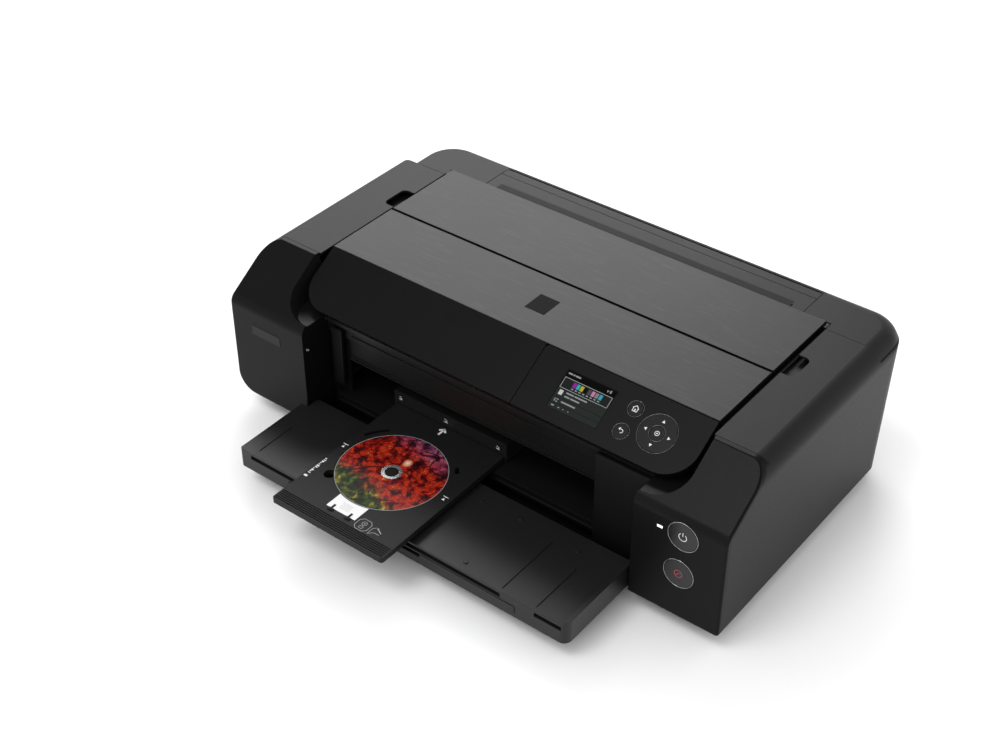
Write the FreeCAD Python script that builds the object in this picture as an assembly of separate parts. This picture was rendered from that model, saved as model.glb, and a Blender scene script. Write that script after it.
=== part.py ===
import FreeCAD, Part
import os
from math import acos, atan2, cos, hypot, pi, radians, sin, tan

from FreeCAD import Vector

# A desktop photo printer with its output tray open and a disc tray half way in.
# Millimetres. Origin: centre of the footprint on the table. +X is the right hand
# of someone facing the printer, -Y is the front, +Z is up.

# ---- overall size -----------------------------------------------------------
left_reach = 323.5
right_reach = 319.0
body_depth = 379.0
foot_height = 8.0
shell_bottom = 18.0
side_top = 189.5
trim_thickness = 3.0
front_y = -body_depth / 2
back_y = body_depth / 2
trim_top = side_top + trim_thickness

# ---- shared walls, gaps and fits --------------------------------------------
shell_wall = 2.5
seam_gap = 0.4
sheet_metal = 2.0
running_gap = 0.05
slide_gap = 0.4
roll_gap = 0.3

# ---- outer covers -----------------------------------------------------------
edge_radius = 20.0
front_edge_radius = 3.0
left_bottom_radius = 24.0
right_bottom_radius = 4.0
bottom_lip = 25.0
fascia_skirt = 5.0
fascia_inner_x = 290.0
rear_corner_radius = 42.0
main_rear_y = 157.0
rear_lean = 0.082
side_cover_front_y = -113.8
side_cover_top_rear_y = 100.0
side_cover_inner_x = 253.0
side_cover_wrap_x = 250.0
rear_cover_bottom = 176.0
rear_cover_rear_y = 172.8
rear_cover_left_inset = 15.5
rear_cover_right_inset = 1.5
rear_cover_edge_radius = 20.0
rear_cover_shelf = 2.6

# ---- front towers -----------------------------------------------------------
tower_inner_x = 215.0
tower_fold_z = 142.6
tower_fold_radius = 14.0
tower_top_front_y = -120.0
pocket_floor_z = 145.0
pocket_side_gap = 8.0
pocket_front_gap = 1.5
pocket_corner_radius = 38.0
pocket_slope_inset = 9.0

# ---- sloping front cover and operation panel --------------------------------
cover_half_width = 248.0
fold_y = -97.0
slope_angle = 31.0
slope_length = 74.0
cover_corner_radius = 35.0
cover_skin = 3.5
cover_skirt = 10.0
cover_rear_y = 0.0
panel_left_x = 44.3
panel_top_s = 1.8
panel_corner_radius = 5.0
panel_seam = 0.8
screen_left_x = 80.5
screen_top_s = 15.7
screen_width = 60.5
screen_height = 44.8
screen_thickness = 1.6
key_radius = 8.0
key_proud = 0.4
key_travel = 0.8
home_key_x = 166.3
home_key_s = 24.3
back_key_x = 165.0
back_key_s = 51.0
ok_key_x = 199.3
ok_key_s = 37.8
ring_radius = 20.2
housing_depth = 9.5
housing_wall = 2.0

# ---- buttons on the right tower ---------------------------------------------
power_button_x = 271.6
power_button_z = 123.2
stop_button_x = 270.1
stop_button_z = 75.3
tower_button_radius = 16.0
tower_button_gap = 0.5
tower_button_length = 9.0
tower_button_proud = 0.6
button_collar_depth = 10.0
led_x = 245.7
led_z = 122.6
led_length = 6.0
led_height = 2.6

# ---- top cover --------------------------------------------------------------
top_cover_front_y = 2.4
top_cover_rear_y = 110.4
top_cover_frame = 4.0
hinge_y = 106.0
hinge_z = 187.3
hinge_pin_radius = 2.0
lug_inner_x = 248.6
lug_outer_x = 252.4
frame_plate_bottom = 178.0
frame_plate_top = 181.0
bay_left_x = -236.0
bay_right_x = 240.0
bay_front_y = 6.0
bay_rear_y = 96.0
notch_front_y = 8.0
notch_rear_y = 45.0
notch_outer_x = 268.0

# ---- rear paper support ------------------------------------------------------
support_left_x = -200.7
support_right_x = 219.2
support_front_y = 112.8
support_bar_front_y = 142.5
support_bar_rear_y = 165.0
support_bar_depth = 4.5
support_slot_low = 182.6
support_cap = 3.0
support_tilt = 8.0
support_plate = 3.0
support_plate_y = 135.0
support_plate_length = 116.0
extension_plate = 2.2
extension_plate_y = 142.8
extension_plate_length = 100.0
extension_half_width = 150.0
guide_half_spread = 166.0
guide_plate = 3.0
rack_slot_low = 150.0
rack_slot_high = 156.0

# ---- paper path -------------------------------------------------------------
path_z = 48.5
roller_radius = 8.5
roller_axis_z = path_z - roller_radius
feed_roller_y = 22.0
gear_module = 1.0
roller_gear_teeth = 48
idler_gear_teeth = 50
pinion_teeth = 18
pressure_angle = 20.0
gear_backlash = 0.14
gear_left_x = -290.0
gear_width = 8.0
shaft_radius = 4.0
path_left_x = -190.0
path_right_x = 198.0
pinch_radius = 5.0
pinch_shaft_radius = 2.0
star_radius = 6.0
star_shaft_radius = 1.5

# ---- carriage ---------------------------------------------------------------
carriage_home_x = 236.0
carriage_half_width = 59.0
carriage_front_y = -47.0
carriage_rear_y = 40.0
carriage_floor_z = 78.0
carriage_wall = 3.0
head_bottom_z = 56.4
tank_count = 8
tank_pitch = 13.3
tank_width = 13.0
tank_top_z = 134.0
rail_shaft_y = 50.0
rail_shaft_z = 90.0
rail_shaft_radius = 5.0
bush_radius = 9.0
rail_y = 66.0
rail_low_z = 72.0
rail_top_z = 150.0
belt_y = 56.0
belt_width = 6.0
belt_thickness = 1.2
pulley_radius = 9.0
pulley_z = 120.0
pulley_x = 285.0

# ---- chassis ----------------------------------------------------------------
chassis_x = 302.0
pan_floor_top = foot_height + 3.0
pan_side_inset = 25.5
pan_rear_inset = 16.0
pan_rim_z = 23.5
station_left_x = 206.0

# ---- output tray ------------------------------------------------------------
tray_half_width = 212.0
tray_front_y = -289.0
tray_rear_y = -176.0
tray_bottom_z = 20.0
tray_rim_z = 48.2
tray_floor_z = 44.6
tray_rim = 5.0
tray_hinge_y = -180.0
tray_hinge_z = 29.5
tray_pin_radius = 3.0
tray_corner_radius = 9.0
tray_left_x = -221.0
tray_ear_rear_y = -193.0
tray_groove = 2.0
tray_groove_depth = 0.8
tray_edge_slot_low = 36.6
tray_edge_slot_high = 42.0
tray_edge_slot_depth = 6.0
tray_stud_radius = 2.5
slide_plate_half_width = 150.0
slide_plate_low = 26.5
slide_plate_high = 34.5

# ---- disc tray, its guide and the disc --------------------------------------
disc_tray_left_x = -129.5
disc_tray_right_x = 19.5
disc_tray_front_y = -333.5
disc_tray_length = 245.0
disc_tray_bottom_z = 48.8
disc_tray_top_z = 55.2
disc_x = -58.5
disc_y = -228.0
disc_radius = 60.0
disc_hole_radius = 7.5
disc_thickness = 1.2
disc_seat_gap = 0.8
finger_hole_x = -107.0
finger_hole_y = -270.3
finger_hole_radius = 6.5
tray_slot_inner = 66.0
tray_slot_outer = 70.5
tray_slot_turns = ((133.0, 156.0), (35.0, 44.0))
grip_groove_count = 6
grip_groove_pitch = 2.6
grip_groove_width = 1.3
grip_groove_depth = 1.0
disc_seat_z = 53.6
guide_front_y = -137.0
guide_top_z = 72.0
guide_hinge_y = -100.0
guide_hinge_z = 69.0
guide_pin_radius = 2.5
guide_rib = 2.4
guide_side_gap = 0.6

# ---- rear panel -------------------------------------------------------------
bulge_half_width = 212.0
bulge_low_z = 26.0
bulge_high_z = 160.0
door_thickness = 3.0
door_gap = 1.0
door_pin_radius = 1.4
door_hinge_z = 33.0
door_hinge_y = back_y - 2.0
screw_head_radius = 3.0
screw_head_height = 2.0
screw_shank_radius = 1.5
screw_length = 8.0
screw_low_z = 21.2


# ---- shape helpers ----------------------------------------------------------
def box(x_low, x_high, y_low, y_high, z_low, z_high):
    return Part.makeBox(x_high - x_low, y_high - y_low, z_high - z_low, Vector(x_low, y_low, z_low))


def rod_x(x_low, x_high, y, z, radius):
    return Part.makeCylinder(radius, x_high - x_low, Vector(x_low, y, z), Vector(1, 0, 0))


def rod_y(y_low, y_high, x, z, radius):
    return Part.makeCylinder(radius, y_high - y_low, Vector(x, y_low, z), Vector(0, 1, 0))


def rod_z(z_low, z_high, x, y, radius):
    return Part.makeCylinder(radius, z_high - z_low, Vector(x, y, z_low), Vector(0, 0, 1))


def rounded_face(corners, place):
    """A flat face whose corners are (a, b, radius), put in space by place(a, b)."""
    count = len(corners)
    starts, middles, ends = [], [], []
    for i, (a, b, radius) in enumerate(corners):
        before, after = corners[i - 1], corners[(i + 1) % count]
        to_before = Vector(before[0] - a, before[1] - b, 0).normalize()
        to_after = Vector(after[0] - a, after[1] - b, 0).normalize()
        corner = Vector(a, b, 0)
        half_turn = acos(max(-1.0, min(1.0, to_before.dot(to_after)))) / 2
        reach = radius / tan(half_turn)
        bisector = (to_before + to_after).normalize()
        centre = corner + bisector * (radius / sin(half_turn))
        starts.append(corner + to_before * reach)
        ends.append(corner + to_after * reach)
        middles.append(centre - bisector * radius)
    edges = []
    for i in range(count):
        if corners[i][2] > 0:
            points = [place(p.x, p.y) for p in (starts[i], middles[i], ends[i])]
            edges.append(Part.Arc(*points).toShape())
        here = ends[i]
        there = starts[(i + 1) % count]
        if (there - here).Length > 1e-6:
            edges.append(Part.makeLine(place(here.x, here.y), place(there.x, there.y)))
    return Part.Face(Part.Wire(edges))


def prism_x(corners, x_low, x_high):
    """Corners are (y, z, radius)."""
    face = rounded_face(corners, lambda a, b: Vector(x_low, a, b))
    return face.extrude(Vector(x_high - x_low, 0, 0))


def prism_y(corners, y_low, y_high):
    """Corners are (x, z, radius)."""
    face = rounded_face(corners, lambda a, b: Vector(a, y_low, b))
    return face.extrude(Vector(0, y_high - y_low, 0))


def prism_z(corners, z_low, z_high):
    """Corners are (x, y, radius)."""
    face = rounded_face(corners, lambda a, b: Vector(a, b, z_low))
    return face.extrude(Vector(0, 0, z_high - z_low))


def slab(x_low, x_high, y_low, y_high, z_low, z_high, radius):
    """A flat plate with four rounded upright corners."""
    corners = [(x_low, y_low, radius), (x_high, y_low, radius), (x_high, y_high, radius), (x_low, y_high, radius)]
    return prism_z(corners, z_low, z_high)


def fuse(first, *others):
    joined = first
    for other in others:
        joined = joined.fuse(other)
    return joined.removeSplitter()


def cut(first, *others):
    left = first
    for other in others:
        left = left.cut(other)
    return left


def mirrored(shape):
    return shape.mirror(Vector(0, 0, 0), Vector(1, 0, 0))


def on_slope(shape):
    """Moves a shape drawn flat (front edge towards -Y, face at z 0) onto the sloping cover."""
    placed = shape.copy()
    placed.rotate(Vector(0, 0, 0), Vector(1, 0, 0), slope_angle)
    placed.translate(Vector(0, fold_y, trim_top))
    return placed


def tilted(shape, y, z):
    """Leans a shape back by the paper support's angle about the line (y, z)."""
    placed = shape.copy()
    placed.rotate(Vector(0, y, z), Vector(1, 0, 0), -support_tilt)
    return placed


def save(shape, node):
    shape.exportStep("parts/" + node + ".step")


# ---- base -------------------------------------------------------------------
def base_pan():
    left, right = left_reach - pan_side_inset, right_reach - pan_side_inset
    front = front_y + pan_rear_inset
    rear = main_rear_y - pan_rear_inset
    radius = 20.0
    tub = slab(-left, right, front, rear, foot_height, pan_rim_z, radius)
    tub = tub.cut(slab(-left + shell_wall, right - shell_wall, front + shell_wall, rear - shell_wall,
                       pan_floor_top, pan_rim_z + 1, radius - shell_wall))
    for side in (-1, 1):
        under_tower = box(tower_inner_x - 1.0, left_reach, front_y, side_cover_front_y, shell_bottom - seam_gap,
                          pan_rim_z + 1)
        tub = tub.cut(under_tower if side > 0 else mirrored(under_tower))
        closing = box(tower_inner_x + seam_gap, left if side < 0 else right, front_y + 4.0, front + radius,
                      shell_bottom - 3.0, shell_bottom - seam_gap)
        tub = tub.fuse(closing if side > 0 else mirrored(closing))
    rear_lip = box(-left_reach + bottom_lip + seam_gap, right_reach - bottom_lip - seam_gap, rear - 1,
                   main_rear_y, shell_bottom + 0.5, pan_rim_z)
    rear_lip = rear_lip.common(body_blank(shell_wall + seam_gap))
    for x, z in screw_places():
        rear_lip = rear_lip.cut(rod_y(main_rear_y - screw_length - 1.0, main_rear_y, x, z,
                                      screw_shank_radius + running_gap))
    return fuse(tub, rear_lip)


def rubber_feet():
    places = [(0.0, 0.0)]
    for x in (-left_reach + 50.0, right_reach - 50.0):
        for y in (front_y + 32.0, main_rear_y - 32.0):
            places.append((x, y))
    feet = []
    for x, y in places:
        foot = rod_z(0, foot_height, x, y, 11.0)
        feet.append(foot.makeFillet(1.5, [e for e in foot.Edges if e.BoundBox.ZMax < 0.01]))
    return Part.makeCompound(feet)


# ---- outer covers -----------------------------------------------------------
def body_blank(inset):
    """Everything inside the outline of the main body, drawn in by inset."""
    left, right = left_reach - inset, right_reach - inset
    rear = main_rear_y - inset
    top = side_top - inset
    low = shell_bottom + inset
    radius = rear_corner_radius - inset
    lean = rear_lean * (top - low)
    stepped = left - rear_cover_left_inset
    outline = [(-stepped, front_y - lean, 0), (right, front_y - lean, 0), (right, rear, radius),
               (-stepped, rear, radius)]
    plan = rounded_face(outline, lambda a, b: Vector(a, b, low)).extrude(Vector(0, lean, top - low))
    plan = plan.fuse(box(-left, right, front_y, side_cover_top_rear_y - inset, low, top))
    side_view = prism_x(side_profile(inset, low, back_y), -left, right)
    front_view = prism_y([(-left, low, left_bottom_radius - inset), (right, low, max(right_bottom_radius - inset, 0)),
                          (right, top, edge_radius - inset), (-left, top, edge_radius - inset)],
                         front_y + inset, back_y)
    blank = plan.common(side_view).common(front_view)
    if inset == 0:
        blank = blank.makeFillet(front_edge_radius, front_rim(blank))
    return blank.removeSplitter()


def front_rim(blank):
    """The edges that bound the front face and the slope above it."""
    rim = []
    for edge in blank.Edges:
        bounds = edge.BoundBox
        on_front = bounds.YMax < front_y + 0.01 or bounds.YMin < tower_top_front_y + 0.01
        along_body = bounds.XLength > right_reach and bounds.ZMin < tower_fold_z + 0.5 * (side_top - tower_fold_z)
        deep = bounds.YMax > side_cover_front_y
        if on_front and not along_body and not deep:
            rim.append(edge)
    return rim


def side_profile(inset, low, rear):
    """Side view of the body: upright front, slope and flat top."""
    slope = atan2(side_top - tower_fold_z, tower_top_front_y - front_y)
    fold_drop = inset * tan((pi / 2 - slope) / 2)
    top_shift = inset * tan(slope / 2)
    return [(front_y + inset, low, 0), (front_y + inset, tower_fold_z - fold_drop, tower_fold_radius - inset),
            (tower_top_front_y + top_shift, side_top - inset, 0),
            (rear, side_top - inset, 0), (rear, low, 0)]


def body_hollow():
    """The space inside the covers, with the inward lip along the bottom left standing."""
    inner = body_blank(shell_wall)
    through = box(-left_reach + bottom_lip, right_reach - bottom_lip, front_y + shell_wall,
                  main_rear_y - shell_wall, shell_bottom - 1, shell_bottom + shell_wall + 1)
    return inner.fuse(through)


def behind_fascia(inset):
    """The part of the body that lies behind the front fascia's skirt."""
    low = shell_bottom - 2
    return prism_x(side_profile(inset, low, back_y), -left_reach - 1, left_reach + 1)


def side_cover(side):
    shell = body_blank(0).cut(body_hollow())
    reach = right_reach
    if side < 0:
        shell = mirrored(shell)
        reach = left_reach
    top_part = box(side_cover_inner_x, reach + 1, side_cover_front_y, side_cover_top_rear_y,
                   rear_cover_bottom - seam_gap, side_top + 1)
    low_part = box(side_cover_wrap_x, reach + 1, side_cover_front_y, back_y,
                   shell_bottom, rear_cover_bottom - seam_gap)
    front_part = box(fascia_inner_x, reach + 1, front_y, side_cover_front_y + 1, shell_bottom, side_top + 1)
    front_part = front_part.common(behind_fascia(fascia_skirt + seam_gap))
    cover = shell.common(fuse(top_part, low_part, front_part)).fuse(side_cover_closings(side, reach))
    notch = slab(side_cover_inner_x - 20.0, notch_outer_x, notch_front_y, notch_rear_y, frame_plate_top,
                 side_top + 1, 7.0)
    cover = cover.cut(notch)
    return cover if side > 0 else mirrored(cover)


def side_cover_closings(side, reach):
    """Walls that close the side cover towards the rear cover and the rear panel."""
    shelf = box(side_cover_wrap_x + shell_wall, reach, side_cover_top_rear_y - shell_wall, back_y,
                rear_cover_bottom - rear_cover_shelf, rear_cover_bottom - seam_gap)
    end_wall = box(side_cover_inner_x + 30.0, reach, side_cover_top_rear_y - shell_wall, side_cover_top_rear_y,
                   rear_cover_bottom - rear_cover_shelf, side_top)
    return_wall = box(side_cover_wrap_x, side_cover_wrap_x + shell_wall, main_rear_y - shell_wall, back_y,
                      shell_bottom, rear_cover_bottom - seam_gap)
    blank = body_blank(0)
    if side < 0:
        blank = mirrored(blank)
    return fuse(shelf, end_wall, return_wall).common(blank)


def tower_pocket(grow):
    """The scoop beside the rounded corner of the sloping cover, drawn flat on the chamfer."""
    slope = atan2(side_top - tower_fold_z, tower_top_front_y - front_y)
    length = hypot(side_top - tower_fold_z, tower_top_front_y - front_y)
    side_x = cover_half_width + pocket_side_gap + grow
    front_s = length - 9.5 + pocket_front_gap + grow
    inset = pocket_slope_inset
    depth = 30.0

    def outline(shrink, height):
        corners = [(tower_inner_x - 20.0, 40.0, 0), (side_x - shrink, 40.0, 0),
                   (side_x - shrink, -front_s + shrink, pocket_corner_radius - shrink * 0.5 + grow),
                   (tower_inner_x - 20.0, -front_s + shrink, 0)]
        return rounded_face(corners, lambda a, b: Vector(a, b, height)).OuterWire

    scoop = Part.makeLoft([outline(0, 0.01), outline(inset, -depth)], True)
    above = Part.Face(outline(0, 0.01)).extrude(Vector(0, 0, 25.0))
    scoop = scoop.fuse(above)
    scoop.rotate(Vector(0, 0, 0), Vector(1, 0, 0), slope * 180 / pi)
    scoop.translate(Vector(0, tower_top_front_y, side_top))
    floor = box(tower_inner_x - 30.0, fascia_inner_x, front_y - 5.0, side_cover_front_y + 20.0,
                pocket_floor_z - grow, side_top + 40.0)
    return scoop.common(floor)


def tower_cover(side):
    outer = body_blank(0)
    inner = body_hollow()
    reach = right_reach
    if side < 0:
        outer, inner, reach = mirrored(outer), mirrored(inner), left_reach
    rear = side_cover_front_y - seam_gap
    outer = outer.common(box(tower_inner_x, reach + 1, front_y - 1, rear, 0, side_top + 1))
    inner = inner.common(box(tower_inner_x + shell_wall, reach + 1, front_y - 1, rear + 5, 0, side_top + 1))
    cover = outer.cut(tower_pocket(0))
    cover = cover.cut(inner.cut(tower_pocket(shell_wall)))
    behind = behind_fascia(fascia_skirt)
    if side < 0:
        behind = mirrored(behind)
    cover = cover.cut(behind.common(box(fascia_inner_x, reach + 1, front_y, rear + 5, 0, side_top + 1)))
    pin_hole = rod_x(tower_inner_x - 1, tower_inner_x + shell_wall + 1, tray_hinge_y, tray_hinge_z,
                     tray_pin_radius + running_gap)
    cover = cover.cut(pin_hole)
    if side > 0:
        return button_openings(cover)
    return mirrored(cover)


def button_openings(cover):
    """Holes and guide collars for the two round buttons, and the lamp's slot."""
    hole_radius = tower_button_radius + tower_button_gap
    collar_rear = front_y + button_collar_depth
    for x, z in ((power_button_x, power_button_z), (stop_button_x, stop_button_z)):
        collar = rod_y(front_y + 1.0, collar_rear, x, z, hole_radius + 1.6)
        collar = collar.common(prism_x(side_profile(0.5, shell_bottom, back_y), tower_inner_x, right_reach))
        cover = cover.fuse(collar)
        cover = cover.cut(rod_y(front_y - 5, collar_rear + 1, x, z, hole_radius))
    slot = box(led_x - led_length / 2, led_x + led_length / 2, front_y - 1, front_y + shell_wall + 1,
               led_z - led_height / 2, led_z + led_height / 2)
    return cover.cut(slot).removeSplitter()


def tower_button(x, z):
    face_y = front_y - tower_button_proud
    body = rod_y(face_y, face_y + tower_button_length, x, z, tower_button_radius)
    body = body.makeFillet(0.6, [e for e in body.Edges if e.BoundBox.YMax < face_y + 0.01])
    flange_y = front_y + button_collar_depth + slide_gap
    stem = rod_y(face_y + tower_button_length, flange_y + 1.6, x, z, 6.0)
    flange = rod_y(flange_y, flange_y + 1.6, x, z, tower_button_radius + 2.0)
    return fuse(body, stem, flange)


def power_led():
    gap = 0.05
    return box(led_x - led_length / 2 + gap, led_x + led_length / 2 - gap, front_y - 0.2, front_y + 4.0,
               led_z - led_height / 2 + gap, led_z + led_height / 2 - gap)


def rear_cover_blank(inset):
    """The rounded form of the rear top cover, drawn in by inset."""
    left = left_reach - rear_cover_left_inset - inset
    right = right_reach - rear_cover_right_inset - inset
    rear = rear_cover_rear_y - inset
    radius = rear_corner_radius - inset
    front = side_cover_top_rear_y + seam_gap
    top = side_top - inset
    edge = rear_cover_edge_radius - inset
    blank = prism_z([(-left, front, 0), (right, front, 0), (right, rear, radius), (-left, rear, radius)],
                    top - 1.5 * edge, top)
    rim = [e for e in blank.Edges if e.BoundBox.ZMin > top - 0.01 and e.BoundBox.YMax > front + 0.01]
    blank = blank.makeFillet(edge, rim)
    return blank.common(box(-left_reach, right_reach, front - 1, back_y, rear_cover_bottom, side_top + 1))


def rear_top_cover():
    front = side_cover_top_rear_y + seam_gap
    cover = rear_cover_blank(0).cut(rear_cover_blank(shell_wall))
    lid_space = box(-side_cover_inner_x, side_cover_inner_x, front - 1, support_front_y - seam_gap,
                    rear_cover_bottom, side_top + 1)
    slot = box(support_left_x - 0.6, support_right_x + 0.6, front, back_y, support_slot_low, side_top + 1)
    return cover.cut(lid_space).cut(slot)


def rear_panel():
    gap = seam_gap
    wall_front = main_rear_y - shell_wall
    panel = box(-side_cover_wrap_x + gap, side_cover_wrap_x - gap, wall_front, main_rear_y,
                shell_bottom, rear_cover_bottom - gap)
    outer = prism_y([(-bulge_half_width, bulge_low_z, 6.0), (bulge_half_width, bulge_low_z, 6.0),
                     (bulge_half_width, bulge_high_z, 14.0), (-bulge_half_width, bulge_high_z, 14.0)],
                    wall_front, back_y)
    hollow_x = bulge_half_width - shell_wall
    hollow = prism_y([(-hollow_x, bulge_low_z + shell_wall, 3.5), (hollow_x, bulge_low_z + shell_wall, 3.5),
                      (hollow_x, bulge_high_z - shell_wall, 11.5), (-hollow_x, bulge_high_z - shell_wall, 11.5)],
                     main_rear_y, back_y + 1)
    flange = box(-side_cover_wrap_x + gap, side_cover_wrap_x - gap, wall_front,
                 rear_cover_rear_y - shell_wall - gap, rear_cover_bottom - rear_cover_shelf, rear_cover_bottom - gap)
    panel = fuse(panel, outer, flange).cut(hollow)
    panel = panel.cut(box(path_left_x - 5, path_right_x + 7, wall_front - 1, main_rear_y + 1, 44.0, 60.0))
    for side in (-1, 1):
        x = side * (bulge_half_width - shell_wall / 2)
        panel = panel.cut(rod_x(x - shell_wall, x + shell_wall, door_hinge_y, door_hinge_z,
                                door_pin_radius + running_gap))
    for x_low, x_high, z_low, z_high in (usb_size, lan_size, inlet_size):
        panel = panel.cut(box(x_low - 0.3, x_high + 0.3, wall_front - 1, main_rear_y + 1, z_low - 0.3, z_high + 0.3))
    for x, z in screw_places():
        panel = panel.cut(rod_y(wall_front - 1, main_rear_y + 1, x, z, screw_shank_radius + 0.1))
    for x, z in board_posts:
        panel = panel.fuse(rod_y(board_y + 1.6, wall_front, x, z, 3.0))
    return panel.removeSplitter()


def screw_places():
    column_x = (bulge_half_width + side_cover_wrap_x) / 2
    middle_x = bulge_half_width * 0.55
    return [(-column_x, 160.0), (column_x, 160.0), (-column_x, 104.0), (column_x, 104.0),
            (-middle_x, screw_low_z), (middle_x, screw_low_z)]


def screws():
    group = []
    for x, z in screw_places():
        head = rod_y(main_rear_y, main_rear_y + screw_head_height, x, z, screw_head_radius)
        head = head.makeFillet(0.8, [e for e in head.Edges if e.BoundBox.YMin > main_rear_y + screw_head_height - 0.01])
        shank = rod_y(main_rear_y - screw_length, main_rear_y, x, z, screw_shank_radius)
        slot = box(x - 1.8, x + 1.8, main_rear_y + 1.0, main_rear_y + 3, z - 0.4, z + 0.4)
        cross = box(x - 0.4, x + 0.4, main_rear_y + 1.0, main_rear_y + 3, z - 1.8, z + 1.8)
        group.append(cut(fuse(head, shank), slot, cross))
    return Part.makeCompound(group)


def manual_feed_tray():
    x = bulge_half_width - shell_wall - door_gap
    low = bulge_low_z + shell_wall + door_gap
    high = bulge_high_z - shell_wall - door_gap
    plate = prism_y([(-x, low, 3.0), (x, low, 3.0), (x, high, 11.0), (-x, high, 11.0)], back_y - door_thickness, back_y)
    grip = box(-28, 28, back_y - 1.2, back_y + 1, high - 14, high - 6)
    plate = plate.cut(grip)
    for rib_x in (-120.0, -40.0, 40.0, 120.0):
        plate = plate.fuse(box(rib_x - 1, rib_x + 1, back_y - door_thickness - 3, back_y - door_thickness,
                               low + 12, high - 12))
    for side in (-1, 1):
        inner = side * x
        outer = side * (bulge_half_width - 0.4)
        plate = plate.fuse(rod_x(min(inner, outer), max(inner, outer), door_hinge_y, door_hinge_z, door_pin_radius))
    return plate.removeSplitter()


# ---- frame under the covers --------------------------------------------------
def upper_frame():
    front = fold_y + 4.0
    rear = support_front_y - 2.0
    plate = box(-left_reach, right_reach, front, rear, frame_plate_bottom, frame_plate_top)
    plate = plate.common(body_blank(shell_wall + seam_gap))
    for side in (-1, 1):
        corner = box(side_cover_inner_x, left_reach, side_cover_top_rear_y - shell_wall - seam_gap, rear + 1,
                     frame_plate_bottom - 1, frame_plate_top + 1)
        plate = plate.cut(corner if side > 0 else mirrored(corner))
    bay = slab(bay_left_x, bay_right_x, bay_front_y, bay_rear_y, frame_plate_bottom - 1, frame_plate_top + 1, 6.0)
    plate = plate.cut(bay)
    pieces = [plate]
    for side in (-1, 1):
        rib = box(lug_inner_x + 0.8, lug_outer_x, front, side_cover_top_rear_y, frame_plate_top, side_top - 4.0)
        post = box(right_reach - 30.0, right_reach - 27.0, front, side_cover_top_rear_y - 5, frame_plate_top,
                   side_top - shell_wall)
        lug = box(lug_inner_x, lug_outer_x, hinge_y - 4.4, hinge_y + 3.8, frame_plate_top, hinge_z + 2.6)
        bore = rod_x(lug_inner_x - 1, lug_outer_x + 1, hinge_y, hinge_z, hinge_pin_radius + running_gap)
        for piece in (rib, post, lug.cut(bore)):
            pieces.append(piece if side > 0 else mirrored(piece))
    for x in (bay_left_x - 2.0, bay_right_x):
        pieces.append(box(x, x + 2.0, bay_front_y, bay_rear_y, frame_plate_bottom - 10, frame_plate_bottom))
    return fuse(*pieces)


def cover_corners(x_left, x_right, s_top, s_low, left_radius, right_radius, inset, top_left=0.0):
    return [(x_left + inset, -(s_top + inset), max(top_left - inset, 0)),
            (x_left + inset, -(s_low - inset), max(left_radius - inset, 0)),
            (x_right - inset, -(s_low - inset), max(right_radius - inset, 0)),
            (x_right - inset, -(s_top + inset), 0)]


def front_cover():
    right = panel_left_x - panel_seam
    outer = prism_z(cover_corners(-cover_half_width, right, 0, slope_length, cover_corner_radius, 0, 0),
                    -cover_skirt, 0)
    inner = prism_z(cover_corners(-cover_half_width, right, 0, slope_length, cover_corner_radius, 0, shell_wall),
                    -cover_skirt - 1, -cover_skin)
    sloping = outer.cut(inner)
    strip = box(right, cover_half_width, -(panel_top_s - panel_seam), 0, -cover_skin, 0)
    sloping = on_slope(sloping.fuse(strip))
    keep_out = box(-left_reach, right_reach, fold_y, 0, side_top, trim_top + 10)
    sloping = sloping.cut(keep_out)
    sloping = sloping.cut(box(-left_reach, right_reach, fold_y + 4.0, 0, 0, trim_top + 10))
    top = box(-cover_half_width, cover_half_width, fold_y, cover_rear_y, side_top - 2.0, side_top)
    brace = box(-cover_half_width, cover_half_width, fold_y + 2.0, fold_y + 5.0, side_top - 4.0, side_top)
    ribs = []
    for x in (-cover_half_width, -120.0, 0.0, 120.0, cover_half_width - 2.0):
        ribs.append(box(x, x + 2.0, fold_y + 4.0, cover_rear_y - 1.0, frame_plate_top, side_top - 2.0))
    return fuse(top, brace, sloping, *ribs)


def front_trim_plate():
    plate = box(-cover_half_width, cover_half_width, fold_y, cover_rear_y, side_top, trim_top)
    return plate.makeFillet(0.5, [e for e in plate.Edges
                                  if e.BoundBox.ZMin > trim_top - 0.01 and e.BoundBox.YMin > cover_rear_y - 0.01])


def panel_cuts():
    """Window and key holes through the operation panel, drawn flat."""
    gap = 0.1
    cuts = [box(screen_left_x - gap, screen_left_x + screen_width + gap,
                -screen_top_s - screen_height - gap, -screen_top_s + gap, -cover_skin - 1, 1)]
    for x, s in ((home_key_x, home_key_s), (back_key_x, back_key_s)):
        cuts.append(rod_z(-cover_skin - 1, 1, x, -s, key_radius + roll_gap))
    cuts.append(rod_z(-cover_skin - 1, 1, ok_key_x, -ok_key_s, ring_radius + roll_gap))
    return cuts


def operation_panel():
    sizes = (panel_left_x, cover_half_width)
    outer = prism_z(cover_corners(*sizes, panel_top_s, slope_length, 0, cover_corner_radius, 0, panel_corner_radius),
                    -cover_skirt, 0)
    inner = prism_z(cover_corners(*sizes, panel_top_s - 3 * shell_wall, slope_length, 0, cover_corner_radius,
                                  shell_wall), -cover_skirt - 1, -cover_skin)
    panel = on_slope(cut(outer.cut(inner), *panel_cuts()))
    return panel.cut(box(0, right_reach, fold_y - seam_gap, 0, side_top - 20.0, trim_top + 1))


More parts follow.
